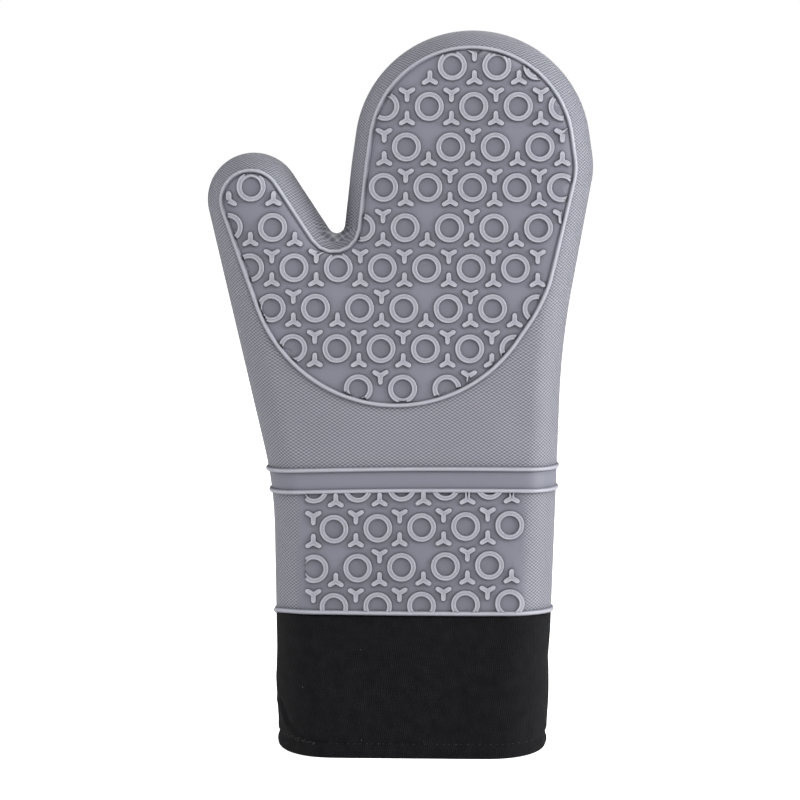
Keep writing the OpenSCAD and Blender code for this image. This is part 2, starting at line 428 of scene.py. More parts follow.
@dataclass
class Solid:
    """Points in mm, faces and values for each point, gathered until a mesh is made of them."""

    points: Array
    faces: Faces
    values: dict[str, Array] = field(default_factory=dict)
    normals: dict[int, Array] = field(default_factory=dict)
    corners: dict[str, Array] = field(default_factory=dict)

    @staticmethod
    def joined(solids: Sequence["Solid"]) -> "Solid":
        """One solid with the points and faces of several.

        Args:
            solids: The solids, which all hold the same values.

        Returns:
            The joined solid.
        """
        faces: Faces = []
        normals: dict[int, Array] = {}
        base = 0
        for one in solids:
            normals.update({base + k: v for k, v in one.normals.items()})
            faces += [tuple(i + base for i in f) for f in one.faces]
            base += len(one.points)
        names = solids[0].values
        values = {k: np.concatenate([s.values[k] for s in solids]) for k in names}
        return Solid(np.concatenate([s.points for s in solids]), faces, values, normals)


def thicken(outer: Array, inner: Array, faces: Faces) -> tuple[Array, Faces]:
    """Closes two walls that share their faces into one solid.

    Args:
        outer: Points of the wall that faces outwards.
        inner: Points of the other wall, in the same order.
        faces: Faces of the outer wall.

    Returns:
        The solid's points and faces.
    """
    n = len(outer)
    edges = {(f[i - 1], f[i]) for f in faces for i in range(len(f))}
    rim = [(a, b) for a, b in sorted(edges) if (b, a) not in edges]
    closed = faces + [tuple(i + n for i in reversed(f)) for f in faces]
    closed += [(b, a, a + n, b + n) for a, b in rim]
    return np.concatenate([outer, inner]), closed


def compact(solid: Solid) -> Solid:
    """The solid without the points that no face uses.

    Args:
        solid: A solid that may hold spare points.

    Returns:
        The solid, numbered anew.
    """
    used = np.unique(np.fromiter((i for f in solid.faces for i in f), int))
    place = np.full(len(solid.points), -1)
    place[used] = np.arange(len(used))
    faces = [tuple(int(place[i]) for i in f) for f in solid.faces]
    normals = {int(place[k]): v for k, v in solid.normals.items() if place[k] >= 0}
    return Solid(solid.points[used], faces, {k: v[used] for k, v in solid.values.items()}, normals)


def sweep(spine: Array, across: Array, up: Array, section: Array, closed: bool) -> tuple[Array, Faces]:
    """A bar of one section along a line.

    Args:
        spine: Points of the line.
        across: Unit vectors along the section's first axis, one for each point.
        up: Unit vectors along its second axis.
        section: The section's corners, counter-clockwise as seen against the line's run.
        closed: Whether the line comes back to its start.

    Returns:
        Points and faces; an open bar gets two end faces.
    """
    n, m = len(spine), len(section)
    points = spine[:, None] + across[:, None] * section[None, :, :1] + up[:, None] * section[None, :, 1:]
    faces: Faces = []
    for i in range(n if closed else n - 1):
        a, b = i * m, (i + 1) % n * m
        faces += [(a + k, b + k, b + (k + 1) % m, a + (k + 1) % m) for k in range(m)]
    if not closed:
        faces += [tuple(reversed(range(m))), tuple(range((n - 1) * m, n * m))]
    return points.reshape(-1, 3), faces


def outward(solid: Solid) -> Solid:
    """Turns every face round if the solid's volume comes out negative.

    Args:
        solid: A closed solid, whose faces all turn the same way.

    Returns:
        The same solid, with outward faces.
    """
    p, volume = solid.points, 0.0
    for f in solid.faces:
        for j in range(1, len(f) - 1):
            volume += float(np.dot(p[f[0]], np.cross(p[f[j]], p[f[j + 1]])))
    if volume < 0:
        solid.faces = [tuple(reversed(f)) for f in solid.faces]
    return solid


def make(name: str, solid: Solid, finish: Material, crease: float = 50.0) -> bpy.types.Object:
    """Makes an object of a solid.

    Args:
        name: The object's name.
        solid: What it is made of, in mm.
        finish: Its material.
        crease: Edges that turn more than this, in degrees, stay sharp.

    Returns:
        The object, at the origin.
    """
    mesh = bpy.data.meshes.new(name)
    mesh.from_pydata((solid.points * MM).tolist(), [], solid.faces)
    for key, value in solid.values.items():
        kind, slot_name = ("FLOAT_VECTOR", "vector") if value.ndim == 2 else ("FLOAT", "value")
        layer = mesh.attributes.new(key, kind, "POINT")
        layer.data.foreach_set(slot_name, value.astype(np.float32).ravel())
    for key, value in solid.corners.items():
        layer = mesh.attributes.new(key, "FLOAT_VECTOR", "CORNER")
        layer.data.foreach_set("vector", value.astype(np.float32).ravel())
    mesh.shade_smooth()
    mesh.set_sharp_from_angle(angle=math.radians(crease))
    if solid.normals:
        set_normals(mesh, solid.normals)
    mesh.materials.append(finish)
    obj = bpy.data.objects.new(name, mesh)
    bpy.context.scene.collection.objects.link(obj)
    return obj


def set_normals(mesh: bpy.types.Mesh, normals: dict[int, Array]) -> None:
    """Gives faces whose corners all have a set normal those normals.

    Args:
        mesh: The mesh.
        normals: Unit normals by point.
    """
    wanted = [(0.0, 0.0, 0.0)] * len(mesh.loops)
    for poly in mesh.polygons:
        corners = [mesh.loops[i].vertex_index for i in poly.loop_indices]
        if all(c in normals for c in corners):
            if np.dot(np.array(poly.normal), sum(normals[c] for c in corners)) > 0.5 * len(corners):
                for i, c in zip(poly.loop_indices, corners):
                    wanted[i] = tuple(normals[c])
    mesh.normals_split_custom_set(wanted)


def read(mesh: bpy.types.Mesh) -> tuple[Array, Faces]:
    """Points in mm and faces of a mesh."""
    points = np.empty(len(mesh.vertices) * 3)
    mesh.vertices.foreach_get("co", points)
    return points.reshape(-1, 3) / MM, [tuple(p.vertices) for p in mesh.polygons]


class Trace:
    """A line in the plane of the outline that distances are measured to."""

    def __init__(self, points: Array, closed: bool = False) -> None:
        """Keeps the line's stretches.

        Args:
            points: Rows of [x, z], clockwise round the inside.
            closed: Whether the line comes back to its start.
        """
        line = np.concatenate([points, points[:1]]) if closed else points
        self.starts, self.runs = line[:-1], np.diff(line, axis=0)

    def measure(self, xz: Array) -> tuple[Array, Array]:
        """Distances to the line, positive to its right, and the nearest places on it.

        Args:
            xz: Rows of [x, z].

        Returns:
            One distance for each row, and rows of [x, z].
        """
        squares = (self.runs**2).sum(1)
        gaps, feet = [], []
        for block in np.array_split(xz, max(1, len(xz) // 2000)):
            rel = block[:, None, :] - self.starts[None]
            t = np.clip((rel * self.runs).sum(2) / squares, 0, 1)
            off = rel - t[..., None] * self.runs
            k = (off**2).sum(2).argmin(1)
            rows = np.arange(len(block))
            run, away = self.runs[k], off[rows, k]
            gaps.append(np.sign(run[:, 1] * away[:, 0] - run[:, 0] * away[:, 1]) * np.hypot(*away.T))
            feet.append(block - away)
        return np.concatenate(gaps), np.concatenate(feet)


class Net:
    """The faces that every layer shares: rows round the side edge, then a flat middle.

    A layer of any depth is laid over the same net, so two walls always match. The net is cut along
    the thumb's fold line, because the thumb bends on its own.
    """

    def __init__(self, form: Form, low: float, step: float, pitch: float, rows: int) -> None:
        """Lays out the net.

        Args:
            form: The mitt's form.
            low: Height of the open lower edge.
            step: Spacing of the points round the outline.
            pitch: Spacing of the points in the middle.
            rows: Number of rows round a quarter of the side edge.
        """
        self.form, self.rows = form, rows
        self.line, self.inward = Route(form.bends, step, low=low).at(0.0)
        self.low = low
        self.count = len(self.line)
        self.turns = np.linspace(0, math.pi / 2, rows + 1)
        flat = self._row(rows, 0.0)
        lower = np.arange(flat[-1, 0] - pitch, flat[0, 0] + pitch / 2, -pitch)
        bottom = np.stack([lower, np.full(len(lower), low)], axis=1)
        x0, z0, x1, z1 = -110.0, low + 0.8 * pitch, 110.0, form.top
        grid = [
            (x + (pitch / 2 if j % 2 else 0), z)
            for j, z in enumerate(np.arange(z0, z1, pitch * 0.87))
            for x in np.arange(x0, x1, pitch)
        ]
        loop = np.concatenate([flat, bottom])
        inside, _ = Trace(loop, closed=True).measure(np.array(grid))
        grid = np.array(grid)[inside > 0.6 * pitch]
        self.extras = np.concatenate([bottom, grid])
        spots = [Vector(p) for p in np.concatenate([loop, grid])]
        ring = [(i, (i + 1) % len(loop)) for i in range(len(loop))]
        found = delaunay_2d_cdt(spots, ring, [], 1, 1e-6)
        first = rows * self.count
        middle = [tuple(first + found[3][i][0] for i in f) for f in found[2]]
        n = self.count
        quads = [
            (k * n + i, (k + 1) * n + i, (k + 1) * n + i + 1, k * n + i + 1)
            for k in range(rows)
            for i in range(n - 1)
        ]
        self.size = first + n + len(self.extras)
        self.cuts: list[tuple[int, int, float]] = []
        self.away = np.concatenate(
            [form.side_round(self.line[:, 1]) * (1 - math.cos(t)) for t in self.turns]
            + [form.distance(self.extras)]
        )
        self.faces = self._cut(middle + quads)

    def _row(self, k: int, inset: float) -> Array:
        """The points of one row round the outline, in the plane.

        Args:
            k: Number of the row, from the side edge in.
            inset: Depth of the layer.

        Returns:
            Rows of [x, z].
        """
        r = self.form.side_round(self.line[:, 1]) - inset
        spots = self.line + (inset + r * (1 - math.cos(self.turns[k])))[:, None] * self.inward
        spots[[0, -1], 1] = self.low
        return spots

    def plan(self, inset: float) -> Array:
        """Places of the net's own points in the plane of the outline."""
        rows = [self._row(k, inset) for k in range(self.rows + 1)]
        return np.concatenate([*rows, self.extras])

    def _cut(self, faces: Faces) -> dict[Part, Faces]:
        """Divides the faces along the thumb's fold line.

        Args:
            faces: Faces of the whole net.

        Returns:
            The faces of each part.
        """
        plan = self.plan(0.0)
        beyond = self.form.beyond_thumb_fold(plan)
        beyond[np.abs(beyond) < 0.35] = 0.0
        left = plan[:, 0] < self.form.fold_thumb.x
        made: dict[tuple[int, int], int] = {}
        sorted_faces: dict[Part, Faces] = {Part.MAIN: [], Part.THUMB: []}
        for face in faces:
            signs = beyond[list(face)]
            if not left[list(face)].all() or signs.max() <= 0:
                sorted_faces[Part.MAIN].append(face)
                continue
            if signs.min() >= 0:
                sorted_faces[Part.THUMB].append(face)
                continue
            halves: dict[Part, list[int]] = {Part.MAIN: [], Part.THUMB: []}
            for i, a in enumerate(face):
                b = face[(i + 1) % len(face)]
                if beyond[a] <= 0:
                    halves[Part.MAIN].append(a)
                if beyond[a] >= 0:
                    halves[Part.THUMB].append(a)
                if beyond[a] * beyond[b] < 0:
                    key = (min(a, b), max(a, b))
                    if key not in made:
                        made[key] = self.size + len(self.cuts)
                        share = beyond[key[0]] / (beyond[key[0]] - beyond[key[1]])
                        self.cuts.append((*key, float(share)))
                    halves[Part.MAIN].append(made[key])
                    halves[Part.THUMB].append(made[key])
            for part, corners in halves.items():
                sorted_faces[part].append(tuple(corners))
        return sorted_faces

    def spread(self, values: Array) -> Array:
        """Carries values of the net's own points on to the points of the cut.

        Args:
            values: One value or row for each of the net's own points.

        Returns:
            The same, with the cut's points last.
        """
        if not self.cuts:
            return values
        a, b, s = (np.array(v) for v in zip(*self.cuts))
        s = s[:, None] if values.ndim == 2 else s
        return np.concatenate([values, (1 - s) * values[a] + s * values[b]])

    def lay(self, side: int, inset: float, least: float = 0.0, relief: Array | None = None) -> Array:
        """Lays the net over one face of the mitt.

        Args:
            side: -1 on the palm and 1 on the back.
            inset: Depth of the layer below the outer face.
            least: Least distance from the plane between palm and back.
            relief: Extra height for each point of the net.

        Returns:
            Rows of [x, y, z] in mm, the cut's points last.
        """
        plan = self.plan(inset)
        sines = np.concatenate([np.repeat(np.sin(self.turns), self.count), np.ones(len(self.extras))])
        y = (self.form.half_depth(plan[:, 1]) - inset) * sines
        y = y + self.form.lift(plan, np.full(len(plan), side), self.away)
        if relief is not None:
            y = y + relief * sines
        y = np.maximum(y, least)
        return self.spread(np.stack([plan[:, 0], side * y, plan[:, 1]], axis=1))

    def moulding(self) -> Array:
        """Pattern coordinates in mm that run on round the side edge without stretching.

        Returns:
            Rows of [x, z, 0], drawn together in the crotch, where there is no room for the pattern.
        """
        rows = []
        crotch = self.form.crotch
        reach = np.hypot(*(self.line - [crotch.x, crotch.z]).T) - crotch.radius
        r = self.form.side_round(self.line[:, 1])
        mean = np.sqrt((r**2 + self.form.half_depth(self.line[:, 1]) ** 2) / 2)
        room = np.minimum(1, (2.5 + 0.9 * reach) / (mean * math.pi / 2 - r))
        for t in self.turns:
            inwards = r - mean * (math.pi / 2 - t)
            rows.append(self.line + np.where(inwards < 0, inwards * room, inwards)[:, None] * self.inward)
        flat = np.concatenate([*rows, self.extras])
        return self.spread(np.stack([flat[:, 0], flat[:, 1], 0 * flat[:, 0]], axis=1))


def corner_normals(points: Array, faces: Iterable[tuple[int, ...]]) -> Array:
    """Unit normals of points, averaged over the faces round each.

    Args:
        points: Rows of [x, y, z].
        faces: Every face of the surface.

    Returns:
        One normal for each point.
    """
    sums = np.zeros_like(points)
    for f in faces:
        p = points[list(f)]
        normal = sum(np.cross(p[j] - p[0], p[j + 1] - p[0]) for j in range(1, len(f) - 1))
        sums[list(f)] += normal
    return sums / np.maximum(np.linalg.norm(sums, axis=1), 1e-12)[:, None]


# ---------------------------------------------------------------------------------------------
# Finishes
# ---------------------------------------------------------------------------------------------


def linear(code: str) -> tuple[float, float, float, float]:
    """A colour given as an sRGB hex code, in linear light.

    Args:
        code: Six hex digits after a hash.

    Returns:
        Red, green, blue and an alpha of 1.
    """
    parts = [int(code[i : i + 2], 16) / 255 for i in (1, 3, 5)]
    return (*(c / 12.92 if c <= 0.04045 else ((c + 0.055) / 1.055) ** 2.4 for c in parts), 1.0)


def node(tree: Tree, kind: str, inputs: dict | None = None, **settings: object) -> bpy.types.Node:
    """Adds a node.

    Args:
        tree: The tree it goes in.
        kind: The node's type.
        inputs: Values or output sockets, by the input's name or number.
        **settings: The node's own properties.

    Returns:
        The node.
    """
    made = tree.nodes.new(kind)
    for key, value in settings.items():
        setattr(made, key, value)
    for key, value in (inputs or {}).items():
        if isinstance(value, Socket):
            tree.links.new(value, made.inputs[key])
        else:
            made.inputs[key].default_value = value
    return made


def start_material(name: str) -> tuple[Material, Tree, bpy.types.Node]:
    """Makes a material with a shader and an output.

    Args:
        name: The material's name.

    Returns:
        The material, its tree and its shader.
    """
    material = bpy.data.materials.new(name)
    material.use_nodes = True
    tree = material.node_tree
    tree.nodes.clear()
    shader = node(tree, "ShaderNodeBsdfPrincipled")
    node(tree, "ShaderNodeOutputMaterial", {"Surface": shader.outputs[0]})
    return material, tree, shader


def calc(tree: Tree, operation: str, *values: object, clamp: bool = False) -> Socket:
    """The result of one sum on numbers or sockets.

    Args:
        tree: The material's tree.
        operation: The sum, as the Math node names it.
        *values: Numbers or sockets.
        clamp: Whether the result is kept between 0 and 1.

    Returns:
        The socket with the result.
    """
    made = node(tree, "ShaderNodeMath", dict(enumerate(values)), operation=operation, use_clamp=clamp)
    return made.outputs[0]


def blended(tree: Tree, share: object, low: object, high: object) -> Socket:
    """A colour between two, by share."""
    mix = node(tree, "ShaderNodeMix", {0: share, 6: low, 7: high}, data_type="RGBA")
    return mix.outputs[2]


def pattern(tree: Tree, name: str) -> tuple[Socket, Socket, Socket]:
    """A mesh attribute's vector, then its first and second parts on their own."""
    place = node(tree, "ShaderNodeAttribute", attribute_name=name).outputs["Vector"]
    split = node(tree, "ShaderNodeSeparateXYZ", {0: place})
    return place, split.outputs[0], split.outputs[1]


def share_of(tree: Tree, name: str) -> Socket:
    """A mesh attribute that is one number for each point."""
    return node(tree, "ShaderNodeAttribute", attribute_name=name).outputs["Fac"]


def noise(tree: Tree, place: Socket, scale: float, detail: float, **more: float) -> Socket:
    """Smooth noise over places, about 0.5."""
    given = {0: place, "Scale": scale, "Detail": detail, **more}
    return node(tree, "ShaderNodeTexNoise", given).outputs[0]


def bump(tree: Tree, strength: float, distance: float, height: Socket, **more: Socket) -> Socket:
    """Normals that rise and fall with a height, at most by a distance in metres."""
    given = {"Strength": strength, "Distance": distance, "Height": height, **more}
    return node(tree, "ShaderNodeBump", given).outputs[0]


@dataclass(frozen=True)
class MouldedSilicone:
    """Silicone rubber from a bead-blasted mould: satin, with a fine crosshatch cut into the grip areas."""

    colour: str = "#72737e"
    pale: str = "#7a7b86"
    # recess_shade: colour of the painted shade in the crosshatch's grooves and in the rings' dished hollows
    recess_shade: str = "#5f6069"
    # ridge and crest_highlight: colours of the painted highlight on the crosshatch's ridges and on the tops
    # of beads, rings and stars
    ridge: str = "#a9aab3"
    crest_highlight: str = "#a9aab3"
    # root: colour of the painted shade at the feet of raised shapes and in crevices
    root: str = "#1b1c20"
    roughness: float = 0.44
    hatch_width: float = 2.65
    hatch_height: float = 1.68
    hatch_depth: float = 0.32
    hatch_fade: float = 0.9
    crevice: float = 4.5

    def material(self) -> Material:
        """The finish; the crosshatch breaks the sheen up, and the beads and rings stay smooth. Its colour
        paints highlights on ridges and crests, and shade in grooves, hollows, roots and crevices.

        Returns:
            The material.
        """
        material, tree, shader = start_material("satin moulded silicone")
        _, x, z = pattern(tree, "moulding")
        across = calc(tree, "DIVIDE", x, self.hatch_width)
        along = calc(tree, "DIVIDE", z, self.hatch_height)
        one = calc(tree, "PINGPONG", calc(tree, "ADD", across, along), 0.5)
        two = calc(tree, "PINGPONG", calc(tree, "SUBTRACT", across, along), 0.5)
        slopes = [calc(tree, "MULTIPLY", way, 3.6) for way in (one, two)]
        lines = [calc(tree, "SUBTRACT", 1.0, slope, clamp=True) for slope in slopes]
        # crest_highlight here: the crosshatch's ridge lines, which give the bump and the painted ridge
        # highlight
        crest_highlight = calc(tree, "MULTIPLY", calc(tree, "ADD", *lines), 0.6, clamp=True)
        gap = share_of(tree, "smooth_ground")
        hatched = calc(tree, "SUBTRACT", 0.5, calc(tree, "DIVIDE", gap, self.hatch_fade), clamp=True)
        object_place = node(tree, "ShaderNodeTexCoord").outputs["Object"]
        cloud = noise(tree, object_place, 14.0, 3.0)
        grain = noise(tree, object_place, 1600.0, 2.0)
        weight = calc(tree, "MULTIPLY", crest_highlight, hatched)
        # dish marks the rings' dished discs, which get painted shade
        hollow = share_of(tree, "dish")
        base = blended(tree, cloud, linear(self.colour), linear(self.pale))
        # painted shade: the crosshatched ground is darkened as if shaded in its grooves
        base = blended(tree, calc(tree, "MULTIPLY", hatched, 0.85), base, linear(self.recess_shade))
        # painted highlight on the crosshatch's ridges
        base = blended(tree, calc(tree, "MULTIPLY", weight, 0.9), base, linear(self.ridge))
        # painted shade in the rings' dished hollows
        base = blended(tree, calc(tree, "MULTIPLY", hollow, 0.3), base, linear(self.recess_shade))
        raised = share_of(tree, "raised")
        # crown: painted highlight on the tops of beads, rings and stars, set by the raised share
        crown = calc(tree, "MULTIPLY", calc(tree, "SUBTRACT", raised, 0.6), 2.4, clamp=True)
        # root: painted contact shadow round the feet of beads, rings and stars, set by the raised share
        root = calc(tree, "MULTIPLY", calc(tree, "SUBTRACT", 0.28, raised), 1.6, clamp=True)
        base = blended(tree, crown, base, linear(self.crest_highlight))
        # painted shade in crevices, from ambient occlusion
        near = {"Distance": self.crevice * MM}
        shade = node(tree, "ShaderNodeAmbientOcclusion", near, samples=6).outputs["AO"]
        crevice_shade = calc(tree, "MULTIPLY", calc(tree, "SUBTRACT", 0.97, shade), 1.3, clamp=True)
        base = blended(tree, calc(tree, "MAXIMUM", root, crevice_shade), base, linear(self.root))
        tree.links.new(base, shader.inputs["Base Color"])
        rough = calc(tree, "ADD", self.roughness - 0.05, calc(tree, "MULTIPLY", cloud, 0.12))
        tree.links.new(rough, shader.inputs["Roughness"])
        fine = bump(tree, 0.12, 0.1 * MM, grain)
        cut = bump(tree, 0.8, self.hatch_depth * MM, weight, Normal=fine)
        tree.links.new(cut, shader.inputs["Normal"])
        shader.inputs["IOR"].default_value = 1.41
        shader.inputs["Specular IOR Level"].default_value = 0.45
        return material


@dataclass(frozen=True)
class RibbedCotton:
    """Heavy cotton twill with upright ribs, dyed black, with a painted highlight along its ribs."""

    name: str = "ribbed black cotton"
    colour: str = "#040405"
    rib_highlight: str = "#222225"
    rib: float = 1.1
    pick: float = 0.75
    depth: float = 0.3
    lint: float = 0.35

    def material(self) -> Material:
        """The finish; the ribs get a painted highlight, uneven along the slubs, and a few pale fibres lie
        on them.

        Returns:
            The material.
        """
        material, tree, shader = start_material(self.name)
        place, x, z = pattern(tree, "weave")
        slub = noise(tree, place, 0.16, 4.0)
        bent = calc(tree, "ADD", x, calc(tree, "MULTIPLY", slub, 0.5))
        rib = calc(tree, "PINGPONG", calc(tree, "DIVIDE", bent, self.rib), 0.5)
        pick = calc(tree, "PINGPONG", calc(tree, "DIVIDE", z, self.pick), 0.5)
        cloth = calc(tree, "ADD", calc(tree, "MULTIPLY", rib, 1.4), calc(tree, "MULTIPLY", pick, 0.6))
        fuzz = noise(tree, place, 2.2, 3.0)
        height = calc(tree, "ADD", cloth, calc(tree, "MULTIPLY", fuzz, 0.5))
        # painted highlight on the ribs; fade and shade only set how strong it is, unevenly along the slubs
        fade = calc(tree, "ADD", calc(tree, "MULTIPLY", slub, 1.2), 0.1)
        shade = calc(tree, "MULTIPLY", cloth, fade, clamp=True)
        base = blended(tree, shade, linear(self.colour), linear(self.rib_highlight))
        scattered = {0: place, "Scale": 0.11, "Randomness": 1.0}
        fibres = node(tree, "ShaderNodeTexVoronoi", scattered, feature="F1").outputs[0]
        speck = calc(tree, "LESS_THAN", fibres, 0.03)
        base = blended(tree, calc(tree, "MULTIPLY", speck, self.lint), base, linear("#a5a5aa"))
        tree.links.new(base, shader.inputs["Base Color"])
        tree.links.new(bump(tree, 0.9, self.depth * MM, height), shader.inputs["Normal"])
        shader.inputs["Roughness"].default_value = 0.9
        shader.inputs["Specular IOR Level"].default_value = 0.06
        shader.inputs["Sheen Weight"].default_value = 0.03
        shader.inputs["Sheen Roughness"].default_value = 0.6
        return material


@dataclass(frozen=True)
class PlainWeave:
    """Plain-woven cotton: one thread over, one under."""

    name: str
    colour: str
    # dip_shade: colour of the painted shade where the threads dip under each other
    dip_shade: str
    thread: float
    depth: float = 0.1

    def material(self) -> Material:
        """The finish; the weave shows as a fine even grid of painted shade where the threads dip, with
        slightly uneven threads.

        Returns:
            The material.
        """
        material, tree, shader = start_material(self.name)
        place, x, z = pattern(tree, "weave")
        warp, weft = (calc(tree, "PINGPONG", calc(tree, "DIVIDE", v, self.thread), 1.0) for v in (x, z))
        over = calc(tree, "ABSOLUTE", calc(tree, "SUBTRACT", warp, weft))
        uneven = noise(tree, place, 0.3, 4.0)
        share = calc(tree, "MULTIPLY", over, calc(tree, "ADD", uneven, 0.35), clamp=True)
        base = blended(tree, share, linear(self.dip_shade), linear(self.colour))
        tree.links.new(base, shader.inputs["Base Color"])
        tree.links.new(bump(tree, 0.8, self.depth * MM, over), shader.inputs["Normal"])
        shader.inputs["Roughness"].default_value = 0.92
        shader.inputs["Sheen Weight"].default_value = 0.1
        return material


@dataclass(frozen=True)
class FibreWadding:
    """Needled polyester wadding: a matt white mat of loose fibres."""

    colour: str = "#e9e7e0"
    shade: str = "#c9c6bd"

    def material(self) -> Material:
        """The finish; long streaks of fibre run through it.

        Returns:
            The material.
        """
        material, tree, shader = start_material("needled polyester wadding")
        place = node(tree, "ShaderNodeTexCoord").outputs["Object"]
        streak = noise(tree, place, 420.0, 5.0, Distortion=1.8)
        base = blended(tree, streak, linear(self.shade), linear(self.colour))
        tree.links.new(base, shader.inputs["Base Color"])
        tree.links.new(bump(tree, 0.7, 0.5 * MM, streak), shader.inputs["Normal"])
        shader.inputs["Roughness"].default_value = 0.95
        return material


@dataclass(frozen=True)
class SewingThread:
    """Spun polyester thread, two plies twisted together."""

    colour: str = "#0a0a0c"
    # light: colour of the painted highlight on the twist's ridges
    light: str = "#1d1d21"
    twist: float = 0.5

    def material(self) -> Material:
        """The finish; the twist gives each stitch fine slanted bands of painted highlight.

        Returns:
            The material.
        """
        material, tree, shader = start_material("spun polyester thread")
        _, x, turn = pattern(tree, "twist")
        slant = calc(tree, "ADD", x, turn)
        band = calc(tree, "PINGPONG", calc(tree, "DIVIDE", slant, self.twist), 0.5)
        share = calc(tree, "MULTIPLY", band, 2.0)
        # painted highlight on the ridges of the twist
        base = blended(tree, share, linear(self.colour), linear(self.light))
        tree.links.new(base, shader.inputs["Base Color"])
        tree.links.new(bump(tree, 0.6, 0.1 * MM, band), shader.inputs["Normal"])
        shader.inputs["Roughness"].default_value = 0.7
        return material


# ---------------------------------------------------------------------------------------------
# Repeated shapes
# ---------------------------------------------------------------------------------------------


class Stamper:
    """Geometry Nodes that set one motif on every point of a cloud, turned to the point's own axes."""

    def __init__(self) -> None:
        """Builds the tree."""
        tree = bpy.data.node_groups.new("motif on points", "GeometryNodeTree")
        self.tree, self.inputs = tree, {}
        for label, kind in (
            ("Geometry", "NodeSocketGeometry"),
            ("Motif", "NodeSocketObject"),
            ("Size", "NodeSocketFloat"),
            ("Finish", "NodeSocketMaterial"),
        ):
            socket = tree.interface.new_socket(label, in_out="INPUT", socket_type=kind)
            self.inputs[label] = socket.identifier
        tree.interface.new_socket("Geometry", in_out="OUTPUT", socket_type="NodeSocketGeometry")
        given = node(tree, "NodeGroupInput").outputs
        kind = "GeometryNodeInputNamedAttribute"
        facing, along = (
            node(tree, kind, {"Name": name}, data_type="FLOAT_VECTOR").outputs[0]
            for name in ("facing", "along")
        )
        ways = {"primary_axis": "Z", "secondary_axis": "X"}
        turn = node(tree, "FunctionNodeAxesToRotation", {0: facing, 1: along}, **ways)
        motif = node(tree, "GeometryNodeObjectInfo", {"Object": given["Motif"]}, transform_space="ORIGINAL")
        placed = node(
            tree,
            "GeometryNodeInstanceOnPoints",
            {
                "Points": given["Geometry"],
                "Instance": motif.outputs["Geometry"],
                "Rotation": turn.outputs[0],
                "Scale": given["Size"],
            },
        )
        real = node(tree, "GeometryNodeRealizeInstances", {0: placed.outputs[0]})
        dressed = node(
            tree, "GeometryNodeSetMaterial", {"Geometry": real.outputs[0], "Material": given["Finish"]}
        )
        node(tree, "NodeGroupOutput", {0: dressed.outputs[0]})

    def run(self, places: Array, facing: Array, along: Array, motif: Solid, finish: Material) -> Solid:
        """Sets the motif on the points.

        Args:
            places: Rows of [x, y, z] in mm.
            facing: Where the motif's Z axis points, for each place.
            along: Where its X axis points.
            motif: The motif, about its own origin.
            finish: The material it takes.

        Returns:
            All the motifs as one plain solid, in the order of the places.
        """
        unit = make("motif", motif, finish)
        cloud = bpy.data.meshes.new("places")
        cloud.from_pydata((places * MM).tolist(), [], [])
        for name, value in (("facing", facing), ("along", along)):
            cloud.attributes.new(name, "FLOAT_VECTOR", "POINT").data.foreach_set("vector", value.ravel())
        holder = bpy.data.objects.new("places", cloud)
        bpy.context.scene.collection.objects.link(holder)
        modifier = holder.modifiers.new("motifs", "NODES")
        modifier.node_group = self.tree
        modifier[self.inputs["Motif"]] = unit
        modifier[self.inputs["Size"]] = 1.0
        modifier[self.inputs["Finish"]] = finish
        graph = bpy.context.evaluated_depsgraph_get()
        mesh = bpy.data.meshes.new_from_object(holder.evaluated_get(graph))
        points, faces = read(mesh)
        values = {k: np.tile(v, (len(places), 1)[: v.ndim]) for k, v in motif.values.items()}
        for obj in (holder, unit):
            bpy.data.objects.remove(obj)
        bpy.data.meshes.remove(mesh)
        return Solid(points, faces, values)


def ring_motif(outer: float, band: float, height: float, steps: int) -> Solid:
    """A flat ring with rounded edges round a shallow dished disc.

    Args:
        outer: Outer radius.
        band: Width of the ring.
        height: Height above the ground.
        steps: Number of points round it.

    Returns:
        The ring, about its centre, facing +Z.
    """
    inner, root = outer - band, ROOT
    section = [
        (outer, root), (outer - 0.08, 0.72 * height), (outer - 0.42, height),
        (outer - band / 2, height - 0.3), (inner + 0.42, height),
        (inner + 0.08, 0.72 * height), (inner - 0.1, 0.20), (0.45 * inner, 0.10),
    ]  # fmt: skip
    turn = np.linspace(0, 2 * math.pi, steps, endpoint=False)
    rows = [np.stack([r * np.cos(turn), r * np.sin(turn), np.full(steps, h)], axis=1) for r, h in section]
    points = np.concatenate([*rows, [[0, 0, 0.08], [0, 0, root]]])
    faces: Faces = []
    for i in range(steps):
        j = (i + 1) % steps
        for k in range(len(section) - 1):
            faces.append((k * steps + i, k * steps + j, (k + 1) * steps + j, (k + 1) * steps + i))
        last = (len(section) - 1) * steps
        faces.append((last + i, last + j, len(points) - 2))
        faces.append((j, i, len(points) - 1))
    # dish marks the dished disc, which the silicone material darkens as painted shade
    dish = np.concatenate([np.zeros(6 * steps), np.ones(2 * steps), [1.0, 0.0]])
    return outward(Solid(points, faces, {"dish": dish}))


